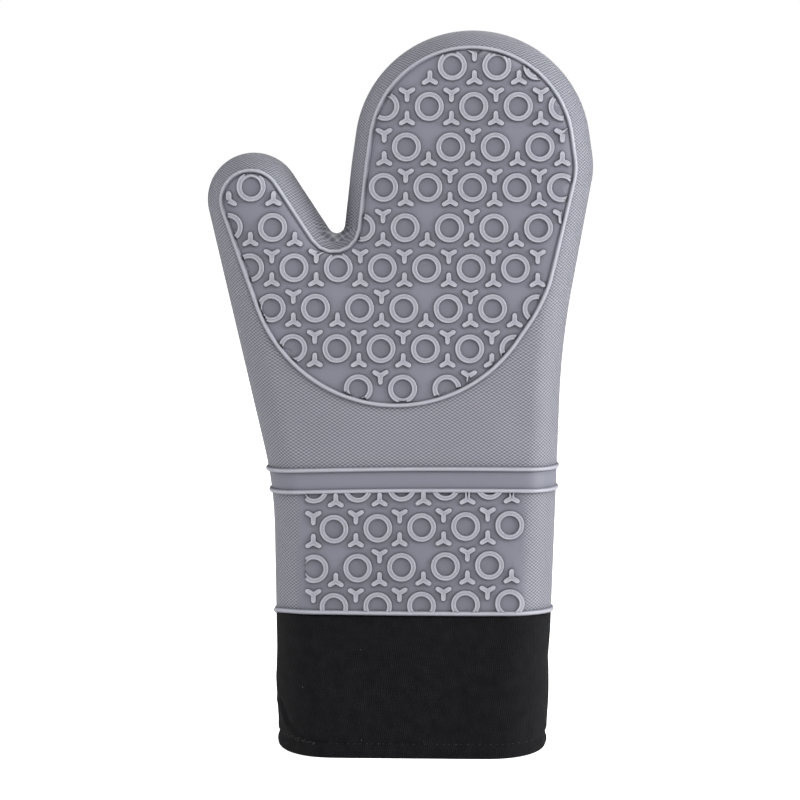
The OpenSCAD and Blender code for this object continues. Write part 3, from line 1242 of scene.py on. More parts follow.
def star_motif(arm: float, width: float, height: float) -> Solid:
    """Three rounded arms that meet at the middle, one of them along +X.

    Args:
        arm: Length of an arm from the middle to its rounded end.
        width: Width of an arm.
        height: Height above the ground.

    Returns:
        The star, about its centre, facing +Z.
    """
    half = width / 2
    rows = []
    for shrink, level in ((0.0, ROOT), (0.06, 0.72 * height), (0.36, height)):
        w, outline = half - shrink, []
        for k in range(3):
            base = 2 * math.pi * k / 3
            cos, sin = math.cos(base), math.sin(base)
            for a in np.radians([-90, -45, 0, 45, 90]):
                x, y = arm - half + w * math.cos(a), w * math.sin(a)
                outline.append((x * cos - y * sin, x * sin + y * cos, level))
            notch = base + math.pi / 3
            outline.append((1.155 * w * math.cos(notch), 1.155 * w * math.sin(notch), level))
        rows.append(outline)
    m = len(rows[0])
    points = np.array([p for row in rows for p in row] + [(0, 0, height - 0.3), (0, 0, ROOT)])
    faces = [
        (k * m + i, k * m + (i + 1) % m, (k + 1) * m + (i + 1) % m, (k + 1) * m + i)
        for k in range(2)
        for i in range(m)
    ]
    faces += [(2 * m + i, 2 * m + (i + 1) % m, 3 * m) for i in range(m)]
    faces += [((i + 1) % m, i, 3 * m + 1) for i in range(m)]
    return outward(Solid(points, faces, {"dish": np.zeros(len(points))}))


def stitch_motif(length: float, thread: float) -> Solid:
    """One stitch that lies along X, dips into the cloth at both ends and faces +Z.

    Args:
        length: Length of the stitch.
        thread: Thickness of the thread.

    Returns:
        The stitch, about its middle.
    """
    sides, stations = 6, (-0.5, -0.36, 0.0, 0.36, 0.5)
    turn = np.linspace(0, 2 * math.pi, sides, endpoint=False)
    rows, twists = [], []
    for s in stations:
        sink = -0.9 * thread * (2 * abs(s)) ** 4
        round_off = thread / 2 * (0.55 if abs(s) == 0.5 else 1.0)
        at = np.full(sides, s * length)
        rows.append(np.stack([at, round_off * np.cos(turn), sink + round_off * np.sin(turn)], axis=1))
        twists.append(np.stack([at, turn / (2 * math.pi), 0 * turn], axis=1))
    faces = [
        (k * sides + i, k * sides + (i + 1) % sides, (k + 1) * sides + (i + 1) % sides, (k + 1) * sides + i)
        for k in range(len(stations) - 1)
        for i in range(sides)
    ]
    last = (len(stations) - 1) * sides
    faces += [tuple(reversed(range(sides))), tuple(range(last, last + sides))]
    return outward(Solid(np.concatenate(rows), faces, {"twist": np.concatenate(twists)}))


# ---------------------------------------------------------------------------------------------
# The mitt's layers
# ---------------------------------------------------------------------------------------------


@dataclass
class Joining:
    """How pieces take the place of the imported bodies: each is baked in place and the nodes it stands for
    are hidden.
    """

    form: Form
    finger_span: tuple[float, float] = (268.0, 310.0)
    thumb_span: float = 36.0

    def attach(self, obj: bpy.types.Object, part: Part, slot: str, nodes: Sequence[str]) -> None:
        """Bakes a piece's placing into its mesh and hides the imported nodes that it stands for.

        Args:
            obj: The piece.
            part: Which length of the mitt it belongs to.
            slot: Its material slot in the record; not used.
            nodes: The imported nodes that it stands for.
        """
        if part is Part.THUMB:
            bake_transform(obj)
        else:
            low, high = self.finger_span
            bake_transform(obj)
        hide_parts(*nodes)
        LOG.info("%s: %d faces", obj.name, len(obj.data.polygons))


def zones(part: Part) -> tuple[str, ...]:
    """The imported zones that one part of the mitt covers."""
    return ("thumb",) if part is Part.THUMB else ("hand", "fingers")


def skin(
    net: Net,
    part: Part,
    side: Side,
    depths: tuple[float, float],
    least: float = 0.0,
    reliefs: tuple[Array | None, Array | None] = (None, None),
    shared: bool = False,
) -> Solid:
    """A closed layer over one or both faces of the mitt.

    Args:
        net: The net that it is laid on.
        part: Which part of the mitt it covers.
        side: Which face.
        depths: Depth of its outer and its inner wall.
        least: Least distance from the plane between palm and back.
        reliefs: Extra height of the outer and the inner wall.
        shared: Whether its shading runs on over the cut between the parts.

    Returns:
        The layer, with pattern coordinates as its weave.
    """
    sides = (-1, 1) if side is Side.BOTH else (side.value,)
    outer = [net.lay(s, depths[0], least, reliefs[0]) for s in sides]
    inner = [net.lay(s, depths[1], least, reliefs[1]) for s in sides]
    n = len(outer[0])
    faces: dict[Part, Faces] = {p: [] for p in Part}
    for k, s in enumerate(sides):
        index = np.arange(n) + k * n
        if k:
            index[np.abs(outer[0][:, 1]) < 1e-6] -= n
        places = index.tolist()
        for p in Part:
            turned = ([places[i] for i in f] for f in net.faces[p])
            faces[p] += [tuple(f if s < 0 else reversed(f)) for f in turned]
    wall = np.concatenate(outer)
    points, closed = thicken(wall, np.concatenate(inner), faces[part])
    pattern = np.tile(net.moulding(), (2 * len(sides), 1))
    normals: dict[int, Array] = {}
    if shared:
        united = corner_normals(wall, faces[Part.MAIN] + faces[Part.THUMB])
        normals = {i: united[i] for i in range(len(wall))}
    return compact(Solid(points, closed, {"weave": pattern}, normals))


@dataclass
class Shell:
    """The moulded silicone: a thin wall with piping, two wrist ribs, a lower bead, rings and stars."""

    form: Form
    finish: Material
    stamper: Stamper
    bead_height: float = 1.35
    bead_half: float = 1.4
    rib_low: float = 136.2
    rib_pitch: float = 11.0
    rib_rise: float = 0.014
    rib_arch: float = 0.9
    rib_half: float = 70.0
    piping_inset: float = 9.0
    ring_radius: float = 7.45
    ring_band: float = 2.75
    relief: float = 1.3
    star_arm: float = 4.75
    star_width: float = 2.7
    row_pitch: float = 20.35
    column_pitch: float = 22.4
    star_offset: float = 6.7
    star_clear: float = 2.35
    border: float = 1.5
    top_row: float = 351.7
    first_column: float = 5.0
    row_shift: float = 0.3
    upright_column: float = 38.9
    corner_shift: float = 2.0
    least_ring: float = 4.4
    between_panels: float = 160.0
    lower_rows: tuple[float, ...] = (137.6, 117.0, 96.9, 77.1)
    lower_columns: int = 5
    lower_start: float = -42.4
    lower_stagger: float = 10.2
    lower_pitch: float = 22.3
    lower_tilt: float = 0.028
    lower_left: float = -50.4
    lower_right: float = 64.4
    lower_margin: float = 3.4
    lower_star: float = -42.7
    sag: float = 1.9
    # plain_rise: raised share of the plain wall and the ring discs, which gets neither painted highlight
    # nor painted root shade
    plain_rise: float = 0.3
    clear_ground: float = 5.0

    def __post_init__(self) -> None:
        """Lays out the piping's line."""
        bends = [*self.form.bends[2:7], Bend(4.0, 265.0, 85.0), Bend(-1.0, 255.0, 83.5)]
        self.piping, _ = Route(bends, 2.0, closed=True).at(self.piping_inset)
        self.panel = Trace(self.piping, closed=True)

    def smooth_ground(self, xz: Array) -> Array:
        """How far places lie inside the ground without crosshatch, negative outside it.

        Args:
            xz: Rows of [x, z].

        Returns:
            One distance for each row; at the sides of the lower panel it grows slowly, for a soft edge.
        """
        x, z = xz[:, 0], xz[:, 1]
        level = z - self.climb(x) - self.rib_low
        band = np.minimum(level, self.rib_pitch - level)
        sides = np.minimum(x - self.lower_left, self.lower_right - x)
        lower = np.minimum(0.25 * sides, -level)
        return np.maximum(np.maximum(self.panel.measure(xz)[0], band), lower)

    def climb(self, x: Array) -> Array:
        """How far a rib stands above its height at the sides."""
        return self.rib_rise * x + self.rib_arch * (1 - (x / self.rib_half) ** 2)

    def section(self) -> Array:
        """The bead's half-round section, with its root sunk in the wall."""
        h, w = self.bead_height, self.bead_half
        left = [(-0.5 * w, 0.86 * h), (-0.88 * w, 0.4 * h)]
        return np.array([(-w, -0.5), (w, -0.5), (0.88 * w, 0.4 * h), (0.5 * w, 0.86 * h), (0, h), *left])

    def _dressed(self, points: Array, faces: Faces) -> Solid:
        """A bead as a solid that carries the shell's values.

        Args:
            points: Its points, section by section.
            faces: Its faces.

        Returns:
            The solid.
        """
        n, rise = len(points), np.clip(self.section()[:, 1] / self.bead_height, 0, 1)
        values = {
            "weave": points[:, [0, 2, 1]],
            "dish": np.zeros(n),
            "smooth_ground": np.full(n, self.clear_ground),
            # raised: height share that places the painted crest highlight and the painted root shade
            "raised": np.tile(rise, n // len(rise)),
        }
        return outward(Solid(points, faces, values))

    def pipings(self, side: int) -> dict[Part, Solid]:
        """The raised line round the grip panel on one face.

        Args:
            side: -1 on the palm and 1 on the back.

        Returns:
            The stretch on each part of the mitt.
        """
        xz = self.piping
        on_thumb = (self.form.beyond_thumb_fold(xz) > 0) & (xz[:, 0] < self.form.fold_thumb.x)
        start = int(np.flatnonzero(on_thumb & ~np.roll(on_thumb, 1))[0])
        xz, on_thumb = np.roll(xz, -start, axis=0), np.roll(on_thumb, -start)
        count = int(on_thumb.sum())
        base, up = self.form.face(xz, side), self.form.facing(xz, side)
        run = np.roll(base, -1, axis=0) - np.roll(base, 1, axis=0)
        across = np.cross(run, up)
        across /= np.linalg.norm(across, axis=1)[:, None]
        rows = {Part.THUMB: np.arange(-1, count + 1), Part.MAIN: np.arange(count, len(xz))}
        return {
            part: self._dressed(*sweep(base[r], across[r], up[r], self.section(), closed=False))
            for part, r in rows.items()
        }

    def rib(self, z: float, arched: bool) -> Solid:
        """A bead that runs once round the mitt.

        Args:
            z: Its height.
            arched: Whether it climbs towards the middle and the little finger's side.

        Returns:
            The bead.
        """
        spine, up = self.form.girdle(z, 260)
        if arched:
            spine[:, 2] += self.climb(spine[:, 0])
        upright = np.tile([0.0, 0.0, 1.0], (len(spine), 1))
        return self._dressed(*sweep(spine, upright, up, self.section(), closed=True))

    def _inside(self, rows: list[tuple[float, ...]], least: float) -> list[tuple[float, ...]]:
        """The rows that lie more than this far inside the upper panel."""
        gaps = self.panel.measure(np.array(rows)[:, :2])[0]
        return [row for row, gap in zip(rows, gaps) if gap > least]

    def _upper_places(self) -> tuple[list[tuple[float, ...]], list[tuple[float, ...]]]:
        """Rings and stars of the upper panel, row by row from the fingertips down.

        Returns:
            Rows of [x, z] for the rings, and rows of [x, z, way up] for the stars.
        """
        rings, stars = [], []
        for j in range(9):
            z = self.top_row - self.row_pitch * j
            start = self.first_column + self.column_pitch / 2 * (j % 2) - self.row_shift * j
            for k in range(-7, 7):
                x = start + self.column_pitch * k
                gap_x = x + self.column_pitch / 2
                if j or k > 0:
                    corner = j == 0 and k == 3
                    rings.append((x - self.corner_shift * corner, z))
                stars.append((gap_x, z - self.star_offset, -1))
                if j % 2 or round((gap_x - self.upright_column) / self.column_pitch) % 2 == 0:
                    stars.append((gap_x, z + self.star_offset, 1))
        return self._inside(rings, self.least_ring - self.ring_radius), self._inside(stars, self.star_clear)

    def _lower_places(self) -> tuple[list[tuple[float, ...]], list[tuple[float, ...]]]:
        """Rings and stars of the lower panel, in rows that climb a little to the right.

        Returns:
            Rows of [x, z] for the rings, and rows of [x, z, way up] for the stars.
        """
        rings, stars = [], []
        last = len(self.lower_rows) - 1
        for j, z in enumerate(self.lower_rows):
            odd = j % 2
            for k in range(-odd, self.lower_columns):
                x = self.lower_start + self.lower_stagger * odd + self.lower_pitch * k
                gap_x = x + self.lower_pitch / 2
                if k >= 0:
                    rings.append((x, z + self.lower_tilt * (x + 45)))
                if gap_x > self.lower_right:
                    continue
                star_x, star_z = max(gap_x, self.lower_star), z + self.lower_tilt * (gap_x + 45)
                if j < last:
                    stars.append((star_x, star_z - self.star_offset, -1))
                if odd or (j == 2 and k % 2):
                    stars.append((star_x, star_z + self.star_offset, 1))
        return rings, stars

    def places(self) -> tuple[list[tuple[float, ...]], list[tuple[float, ...]]]:
        """Where rings and stars lie on a face.

        Returns:
            Rows of [x, z] for the rings, and rows of [x, z, way up] for the stars.
        """
        upper, lower = self._upper_places(), self._lower_places()
        return upper[0] + lower[0], upper[1] + lower[1]

    def clip(self, xz: Array) -> tuple[Array, Array]:
        """Pulls places that lie outside the grip panels back to their border.

        Args:
            xz: Rows of [x, z].

        Returns:
            The places, and which of them were pulled back.
        """
        gap, feet = self.panel.measure(xz)
        upper = xz[:, 1] > self.between_panels
        short = np.maximum(0, self.border - gap)
        away = (xz - feet) / np.where(np.abs(gap) < 1e-6, 1.0, gap)[:, None]
        pushed = xz + short[:, None] * away
        lowest = self.form.shell_low + self.bead_half
        ceiling = self.rib_low + self.climb(xz[:, 0])
        x = np.clip(xz[:, 0], self.lower_left + self.lower_margin, self.lower_right)
        boxed = np.stack([x, np.clip(xz[:, 1], lowest, ceiling)], axis=1)
        held = np.where(upper[:, None], pushed, boxed)
        return held, np.hypot(*(held - xz).T) > 1e-6

    def stamps(self) -> list[tuple[Part, int, Solid]]:
        """Rings and stars, pressed on to both faces.

        Returns:
            The solids, with the part and the face that each belongs to.
        """
        rings, stars = self.places()
        found = []
        for motif, rows in (
            (ring_motif(self.ring_radius, self.ring_band, self.relief, 36), [(*r, 1) for r in rings]),
            (star_motif(self.star_arm, self.star_width, self.relief), stars),
        ):
            spots = np.array(rows, float)
            flat = np.stack([spots[:, 0], spots[:, 1], 0 * spots[:, 0]], axis=1)
            facing = np.tile([0.0, 0.0, 1.0], (len(spots), 1))
            along = np.stack([0 * spots[:, 0], -spots[:, 2], 0 * spots[:, 0]], axis=1)
            sheet = self.stamper.run(flat, facing, along, motif, self.finish)
            island = np.arange(len(sheet.points)) // len(motif.points)
            beyond = self.form.beyond_thumb_fold(spots) > -self.ring_radius
            on_thumb = beyond & (spots[:, 0] < self.form.fold_thumb.x)
            held, pulled = self.clip(sheet.points[:, :2])
            height = np.where(pulled, ROOT, sheet.points[:, 2])
            for side in (-1, 1):
                up = self.form.facing(held, side)
                points = self.form.face(held, side) + height[:, None] * up
                faces = sheet.faces if side < 0 else [tuple(reversed(f)) for f in sheet.faces]
                dish, rise = sheet.values["dish"], np.clip(height / self.relief, 0, 1)
                values = {
                    "weave": points[:, [0, 2, 1]],
                    "dish": dish,
                    "smooth_ground": np.full(len(points), self.clear_ground),
                    # raised: height share that places the painted crest highlight and the painted root
                    # shade
                    "raised": np.where(dish > 0, self.plain_rise, rise),
                }
                for part in Part:
                    wanted = on_thumb if part is Part.THUMB else ~on_thumb
                    chosen = [f for f in faces if wanted[island[f[0]]]]
                    found.append((part, side, compact(Solid(points, chosen, values))))
        return found

    def settled(self, points: Array) -> Array:
        """The shell with its lower edge sagging a little at the sides, more on the thumb's.

        Args:
            points: Rows of [x, y, z].

        Returns:
            The points, moved down near the lower edge.
        """
        x, y, z = points.T
        sideways = np.clip(1 - np.abs(y) / self.form.half_depth(z), 0, 1) ** 1.5
        near = np.clip((self.rib_low - 12 - z) / (self.rib_low - 12 - self.form.shell_low), 0, 1) ** 2
        drop = self.sag * (1 - 0.5 * np.sign(x)) * sideways * near
        return np.stack([x, y, z - drop], axis=1)

    def build(self, joining: Joining) -> None:
        """Makes the shell's two pieces.

        Args:
            joining: What sets them in place of the imported nodes.
        """
        net = Net(self.form, self.form.shell_low, 2.2, 3.0, 8)
        stamps = self.stamps()
        beads = [self.pipings(side) for side in (-1, 1)]
        ribs = [
            self.rib(self.rib_low, True),
            self.rib(self.rib_low + self.rib_pitch, True),
            self.rib(self.form.shell_low + self.bead_half - 0.1, False),
        ]
        for part in Part:
            wall = self.wall(net, part)
            bits = [wall, *(b[part] for b in beads), *(one for p, _, one in stamps if p is part)]
            if part is Part.MAIN:
                bits += ribs
            whole = Solid.joined(bits)
            whole.values["moulding"] = whole.values.pop("weave")
            whole.points = self.settled(whole.points)
            obj = make(f"silicone_moulding_{part.value}", whole, self.finish, crease=38.0)
            joining.attach(obj, part, "silicone", [f"silicone_shell_{z}" for z in zones(part)])

    def wall(self, net: Net, part: Part) -> Solid:
        """The shell's plain wall on one part.

        Args:
            net: The net it is laid on.
            part: Which part.

        Returns:
            The wall.
        """
        bare = skin(net, part, Side.BOTH, (0.0, self.form.sizes.shell), shared=True)
        n = len(bare.points)
        bare.values["dish"] = np.zeros(n)
        # raised: height share for the painted highlight and the painted root shade; the plain wall gets
        # neither
        bare.values["raised"] = np.full(n, self.plain_rise)
        bare.values["smooth_ground"] = self.smooth_ground(bare.points[:, [0, 2]])
        return bare


@dataclass
class Liner:
    """The quilted liner: backing cloth, wadding and lining cotton, one set for each face of the mitt."""

    form: Form
    backing: Material
    wadding: Material
    lining: Material
    quilt: float = 28.0
    tuck: float = 1.7
    tuck_width: float = 4.5

    def tucks(self, xz: Array) -> Array:
        """How far the quilting pulls the inner plies outwards, deepest on its stitched diamonds.

        Args:
            xz: Rows of [x, z].

        Returns:
            One height for each row.
        """
        lines = []
        for sign in (1, -1):
            phase = (xz[:, 0] * 0.5 + sign * xz[:, 1] * 0.866) / self.quilt
            lines.append(np.abs(phase - np.round(phase)) * self.quilt)
        return self.tuck * np.exp(-((np.minimum(*lines) / self.tuck_width) ** 2))

    def build(self, joining: Joining) -> None:
        """Makes the plies of both faces and both parts.

        Args:
            joining: What sets them in place of the imported nodes.
        """
        s = self.form.sizes
        net = Net(self.form, self.form.liner_low, 5.0, 4.0, 5)
        tucks = self.tucks(net.plan(0.0))
        plies = (
            ("backing", s.backing, self.backing, "backing_cloth", (None, None)),
            ("wadding", s.wadding, self.wadding, "wadding", (None, tucks * 0.95)),
            ("lining", s.lining, self.lining, "lining_cotton", (tucks * 0.95, tucks)),
        )
        cuts = {Part.MAIN: (0.215, 0.300, 0.80), Part.THUMB: (0.075, 0.090, 0.65)}
        for side in (Side.PALM, Side.BACK):
            for ply, depths, finish, slot, reliefs in plies:
                for part in Part:
                    solid = skin(net, part, side, depths, least=0.1, reliefs=reliefs)
                    name = f"{side.name.lower()}_{ply}"
                    obj = make(f"{name}_ply_{part.value}", solid, finish, crease=60.0)
                    width, length, share = cuts[part]
                    joining.attach(obj, part, slot, [f"{name}_{z}" for z in zones(part)])


@dataclass
class Cuff:
    """The folded cotton band with its hem, and the tongue that is tucked in under the silicone."""

    form: Form
    finish: Material
    hem_line: float = 7.6
    columns: int = 420
    around: float = 371.0
    hem_rise: float = 3.2

    def swell(self, points: Array) -> Array:
        """How far the cloth stands out from its plain shape.

        Args:
            points: Rows of [x, y, z] on the cloth.

        Returns:
            Displacements, outwards positive.
        """
        x, y, z = points.T
        side = np.where(y < 0, -1.0, 1.0)
        along = x + 40 * side
        folds = 0.55 * np.sin(along / 17 + z / 23) * np.sin(z / 19 + 0.6 * side)
        folds += 0.35 * np.sin(along / 8.5 - z / 14 + 1.3) * np.sin(z / 12 + along / 31)
        folds += 0.28 * np.exp(-(((z - 43 - 0.05 * along) / 3.2) ** 2)) * np.sin(along / 27)
        still = np.clip((70 - z) / 16, 0, 1) * np.clip(z / 6 + 0.3, 0, 1)
        stitched = -0.8 * np.exp(-(((z - self.hem_line) / 1.1) ** 2))
        roll = 0.45 * np.exp(-(((z - 3.6) / 2.4) ** 2)) + 0.12 * np.exp(-(((z - 11) / 2.5) ** 2))
        pucker = 0.14 * np.sin(along / 1.05) * np.exp(-(((z - self.hem_line) / 3.5) ** 2))
        turned_up = [(-72.0, 34.0), (-61.0, 26.0), (-57.0, 15.0), (-49.0, 8.6), (-37.0, 6.4), (-30.0, 6.4)]
        gap, _ = Trace(np.array(turned_up)).measure(np.stack([x, z], axis=1))
        near = np.clip((-34 - x) / 5, 0, 1) * np.clip(-y / 9, 0, 1)
        ridge, valley = np.exp(-(((gap - 1.0) / 1.5) ** 2)), np.exp(-(((gap + 1.2) / 1.2) ** 2))
        crease = near * (0.75 * ridge - 0.6 * valley)
        return folds * still + stitched + roll + pucker + crease

    def curved(self, points: Array) -> Array:
        """The cloth with its hem drawn up at both sides.

        Args:
            points: Rows of [x, y, z].

        Returns:
            The points, moved up near the hem.
        """
        x, y, z = points.T
        sideways = np.clip(1 - np.abs(y) / self.form.hem_depth, 0, 1) ** 1.4
        return np.stack([x, y, z + self.hem_rise * sideways * np.clip(1 - z / 30, 0, 1)], axis=1)

    def outline(self) -> list[tuple[float, float]]:
        """The band's section as heights and depths, up the outside and down the inside.

        Returns:
            Pairs of height and depth below the outer face.
        """
        s = self.form.sizes
        top, thick = self.form.shell_low - 0.3, s.cuff
        up = [(z, 0.0) for z in np.arange(1.8, top - 0.8, 1.6)]
        tongue = self.form.tongue_top
        low = [(0.0, 0.5 * thick), (0.25, 0.22 * thick), (0.9, 0.03 * thick)]
        shoulder = [(top - 0.5, 0.05), (top - 0.1, 0.5), (top, 1.3), (top, s.tongue[0])]
        upper = [(z, s.tongue[0]) for z in np.arange(top + 2, tongue - 0.3, 3)]
        cap = [(tongue, 0.35 * s.tongue[0] + 0.65 * s.tongue[1]), (tongue - 0.5, s.tongue[1])]
        down = [(z, s.tongue[1]) for z in np.arange(tongue - 3, top - 2, -3)]
        inner = [(z, thick) for z in np.arange(top - 5.0, 1.8, -2.2)]
        inner += [(0.9, 0.97 * thick), (0.25, 0.78 * thick)]
        return low + up + shoulder + upper + cap + down + inner

    @staticmethod
    def cell(across: float, along: float, width: float, height: float) -> list[tuple[float, float, float]]:
        """Pattern coordinates of one face's corners."""
        right, top = across + width, along + height
        return [(across, along, 0), (right, along, 0), (right, top, 0), (across, top, 0)]

    def build(self) -> None:
        """Makes the band."""
        rows, weave = [], []
        run = 0.0
        section = self.outline()
        for k, (z, inset) in enumerate(section):
            points, normals = self.form.girdle(z, self.columns, inset)
            amount = self.swell(points) if inset < 3 else np.zeros(self.columns)
            if z > self.form.shell_low - 0.4:
                amount[:] = 0
            points = points + (amount * min(1.0, 0.25 + z / 2))[:, None] * normals
            rows.append(points)
            if k:
                run += math.hypot(z - section[k - 1][0], inset - section[k - 1][1])
            weave.append(run)
        weave.append(run + 2.0)
        n, m = self.columns, len(rows)
        faces = [
            (k * n + i, k * n + (i + 1) % n, (k + 1) % m * n + (i + 1) % n, (k + 1) % m * n + i)
            for k in range(m)
            for i in range(n)
        ]
        step = self.around / n
        cloth = [
            corner
            for k in range(m)
            for i in range(n)
            for corner in self.cell(i * step, weave[k], step, weave[k + 1] - weave[k])
        ]
        solid = Solid(self.curved(np.concatenate(rows)), faces, corners={"weave": np.array(cloth)})
        obj = make("cuff_band_cloth", solid, self.finish, crease=75.0)
        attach(obj, "hand")
        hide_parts("cuff_band")
        LOG.info("%s: %d faces", obj.name, len(obj.data.polygons))


@dataclass
class Threads:
    """All the sewing that shows: hem, back-tack, cuff seam, the join to the liner, and the liner's seam."""

    form: Form
    cuff: Cuff
    finish: Material
    stamper: Stamper
    thread: float = 0.55
    length: float = 2.5
    pitch: float = 3.3

    def _row(self, places: Array, facing: Array, along: Array, length: float | None = None) -> Solid:
        """Stitches on given places."""
        motif = stitch_motif(length or self.length, self.thread)
        return self.stamper.run(places, facing, along, motif, self.finish)

    def _girdle(self, z: float, inset: float, inside: bool) -> Solid:
        """A row once round the mitt at one height.

        Args:
            z: Its height.
            inset: Depth of the cloth's face below the outer face.
            inside: Whether it lies on the inner face.

        Returns:
            The stitches.
        """
        count = round(self.cuff.around / self.pitch)
        points, normals = self.form.girdle(z, count, inset)
        ahead = np.roll(points, -1, axis=0) - np.roll(points, 1, axis=0)
        if inside:
            normals = -normals
        else:
            points = self.cuff.curved(points + self.cuff.swell(points)[:, None] * normals)
        return self._row(points + 0.12 * normals, normals, ahead)

    def hem(self) -> Solid:
        """The row that holds the hem down."""
        return self._girdle(self.cuff.hem_line, 0.0, inside=False)

    def join(self) -> Solid:
        """The row that joins cuff and liner, on the lining."""
        z = (self.form.liner_low + self.form.tongue_top) / 2
        return self._girdle(z, self.form.sizes.lining[1], inside=True)

    def tack(self) -> Solid:
        """A short dense row where the hem's stitching ends, at the thumb side of the palm.

        Returns:
            The stitches.
        """
        xz = np.array([(-58.5 + 1.55 * k, 10.2 - 0.32 * k + 0.5 * (k % 2)) for k in range(11)])
        points = self._on_cloth(xz)
        along = np.tile([1.0, 0.0, 0.55], (len(points), 1))
        return self._row(points, self.form.facing(xz, -1), along, 2.1)

    def _on_cloth(self, xz: Array) -> Array:
        """Places on the cuff's palm side."""
        points = self.form.face(xz, -1)
        points[:, 1] -= self.cuff.swell(points) + 0.14
        return points

    def side_seam(self) -> Solid:
        """The seam that closes the cuff's cloth, inside at the little finger's side.

        Returns:
            The stitches.
        """
        heights = np.arange(self.cuff.hem_line + 4, self.form.shell_low - 8, self.pitch)
        spots = [(self.form.edge_at(z, True) - self.form.sizes.cuff - 0.15, 0.0, z) for z in heights]
        facing = np.tile([-1.0, 0.0, 0.0], (len(spots), 1))
        along = np.tile([0.0, 0.0, 1.0], (len(spots), 1))
        return self._row(np.array(spots), facing, along)

    def liner_seam(self) -> dict[Part, Solid]:
        """The whipped seam that joins the liner's two panels, between liner and silicone.

        Returns:
            The stitches of each part of the mitt.
        """
        depth = (self.form.sizes.shell + self.form.sizes.backing[0]) / 2
        line, inward = Route(self.form.bends, self.pitch, low=self.form.tongue_top + 3).at(depth)
        points = np.stack([line[:, 0], 0 * line[:, 0], line[:, 1]], axis=1)[1:-1]
        facing = np.stack([-inward[:, 0], 0 * line[:, 0], -inward[:, 1]], axis=1)[1:-1]
        run = np.gradient(points, axis=0)
        run /= np.linalg.norm(run, axis=1)[:, None]
        along = run + np.array([0.0, 0.8, 0.0])
        beyond = self.form.beyond_thumb_fold(points[:, [0, 2]]) > 0
        beyond &= points[:, 0] < self.form.fold_thumb.x
        return {
            part: self._row(points[keep], facing[keep], along[keep])
            for part, keep in ((Part.THUMB, beyond), (Part.MAIN, ~beyond))
        }

    def build(self, joining: Joining) -> None:
        """Makes the sewing.

        Args:
            joining: What sets the liner's seam in place of the imported nodes.
        """
        for name, solid, replaced in (
            ("hem_topstitch_thread", self.hem(), "hem_topstitch"),
            ("hem_back_tack_thread", self.tack(), "hem_back_tack"),
            ("cuff_join_thread", self.join(), "cuff_join_stitch"),
            ("cuff_side_seam_thread", self.side_seam(), "cuff_side_seam"),
        ):
            obj = make(name, solid, self.finish)
            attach(obj, "hand")
            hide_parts(replaced)
            LOG.info("%s: %d faces", name, len(solid.faces))
        for part, solid in self.liner_seam().items():
            obj = make(f"liner_seam_thread_{part.value}", solid, self.finish)
            joining.attach(obj, part, "thread", [f"liner_seam_{z}" for z in zones(part)])


# ---------------------------------------------------------------------------------------------
# Studio
# ---------------------------------------------------------------------------------------------


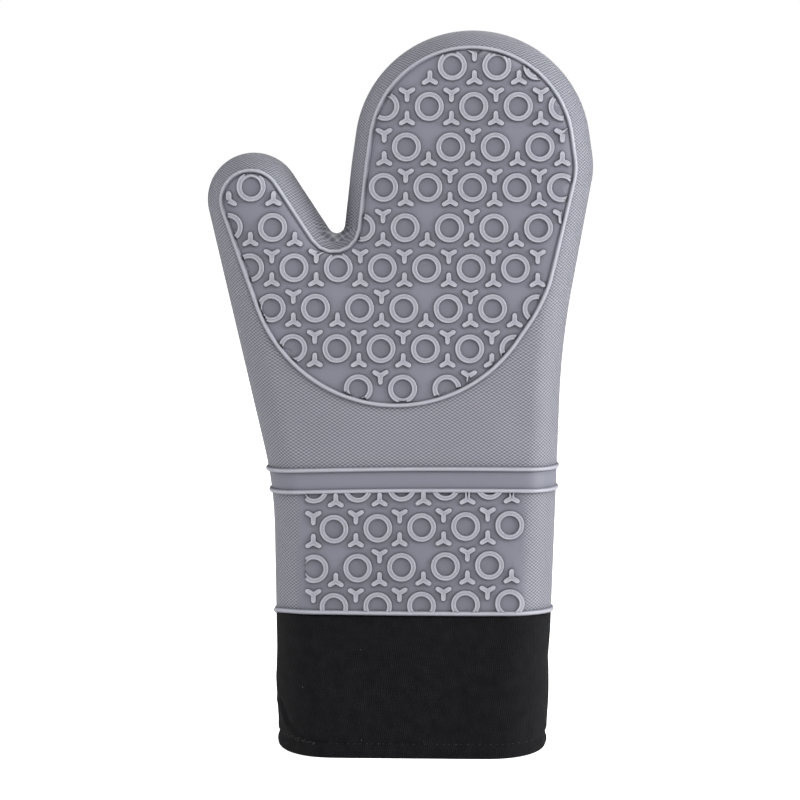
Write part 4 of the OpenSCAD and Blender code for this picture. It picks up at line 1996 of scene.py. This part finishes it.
@dataclass
class Studio:
    """A pale floor, a white surround, soft lights and the camera."""

    target: tuple[float, float, float] = (0.0, 0.0, 0.1811)
    camera_place: tuple[float, float, float] = (0.0997, -1.9, 0.340)
    lens: float = 167.4
    surround: float = 0.2

    def floor(self) -> None:
        """A plain pale floor that runs on to the horizon."""
        half = 12.0
        mesh = bpy.data.meshes.new("studio_floor")
        corners = [(-half, -half, 0), (half, -half, 0), (half, half, 0), (-half, half, 0)]
        mesh.from_pydata(corners, [], [(0, 1, 2, 3)])
        material, tree, shader = start_material("pale studio paper")
        place = node(tree, "ShaderNodeTexCoord").outputs["Object"]
        tooth = node(tree, "ShaderNodeTexNoise", {0: place, "Scale": 90.0, "Detail": 2.0}).outputs[0]
        base = blended(tree, tooth, linear("#f8f8f8"), linear("#fdfdfd"))
        tree.links.new(base, shader.inputs["Base Color"])
        shader.inputs["Roughness"].default_value = 0.95
        shader.inputs["Specular IOR Level"].default_value = 0.1
        shader.inputs["Emission Color"].default_value = linear("#ffffff")
        seen = node(tree, "ShaderNodeLightPath").outputs["Is Camera Ray"]
        tree.links.new(seen, shader.inputs["Emission Strength"])
        mesh.materials.append(material)
        floor = bpy.data.objects.new("studio_floor", mesh)
        bpy.context.scene.collection.objects.link(floor)

    def light(self, name: str, place: tuple[float, float, float], size: float, power: float) -> None:
        """A soft square light that faces the mitt.

        Args:
            name: The light's name.
            place: Where it hangs.
            size: Its side, in metres.
            power: Its power, in watts.
        """
        data = bpy.data.lights.new(name, "AREA")
        data.shape, data.size, data.energy = "SQUARE", size, power
        lamp = bpy.data.objects.new(name, data)
        lamp.location = place
        lamp.rotation_euler = (Vector(self.target) - Vector(place)).to_track_quat("-Z", "Y").to_euler()
        bpy.context.scene.collection.objects.link(lamp)

    def build(self) -> None:
        """Makes the floor, the lights, the surround and the camera."""
        self.floor()
        self.light("key light", (0.3, -0.85, 1.25), 0.6, 9.5)
        self.light("right light", (2.1, -0.55, 0.8), 1.0, 55.0)
        self.light("left light", (-2.1, -0.2, 0.9), 1.0, 20.0)
        self.light("front fill", (-0.7, -2.8, 0.9), 1.6, 11.0)
        self.light("rear light", (0.2, 2.4, 1.9), 2.0, 14.0)
        world = bpy.data.worlds.new("white surround")
        world.use_nodes = True
        tree = world.node_tree
        tree.nodes.clear()
        seen = node(tree, "ShaderNodeLightPath").outputs["Is Camera Ray"]
        gain = calc(tree, "MULTIPLY", seen, 1.0 - self.surround)
        strength = calc(tree, "ADD", gain, self.surround)
        glow = node(tree, "ShaderNodeBackground", {"Color": linear("#ffffff"), "Strength": strength})
        node(tree, "ShaderNodeOutputWorld", {"Surface": glow.outputs[0]})
        bpy.context.scene.world = world
        bpy.context.scene.view_settings.view_transform = "Standard"
        data = bpy.data.cameras.new("camera")
        data.sensor_width, data.lens = 36.0, self.lens
        camera = bpy.data.objects.new("camera", data)
        camera.location = self.camera_place
        aim = Vector(self.target) - Vector(self.camera_place)
        camera.rotation_euler = aim.to_track_quat("-Z", "Y").to_euler()
        bpy.context.scene.collection.objects.link(camera)
        bpy.context.scene.camera = camera


def main() -> None:
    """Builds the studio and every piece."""
    logging.basicConfig(level=logging.INFO, format="%(name)s %(message)s")
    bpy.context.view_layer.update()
    Studio().build()
    form = Form(Sizes())
    joining = Joining(form)
    stamper = Stamper()
    Shell(form, MouldedSilicone().material(), stamper).build(joining)
    cuff = Cuff(form, RibbedCotton().material())
    cuff.build()
    Liner(
        form,
        PlainWeave("plain-woven backing cotton", "#c9c6be", "#a3a099", 0.6).material(),
        FibreWadding().material(),
        PlainWeave("plain-woven lining cotton", "#3a3b40", "#232428", 0.75).material(),
    ).build(joining)
    Threads(form, cuff, SewingThread().material(), stamper).build(joining)


if __name__ == "__main__":
    main()
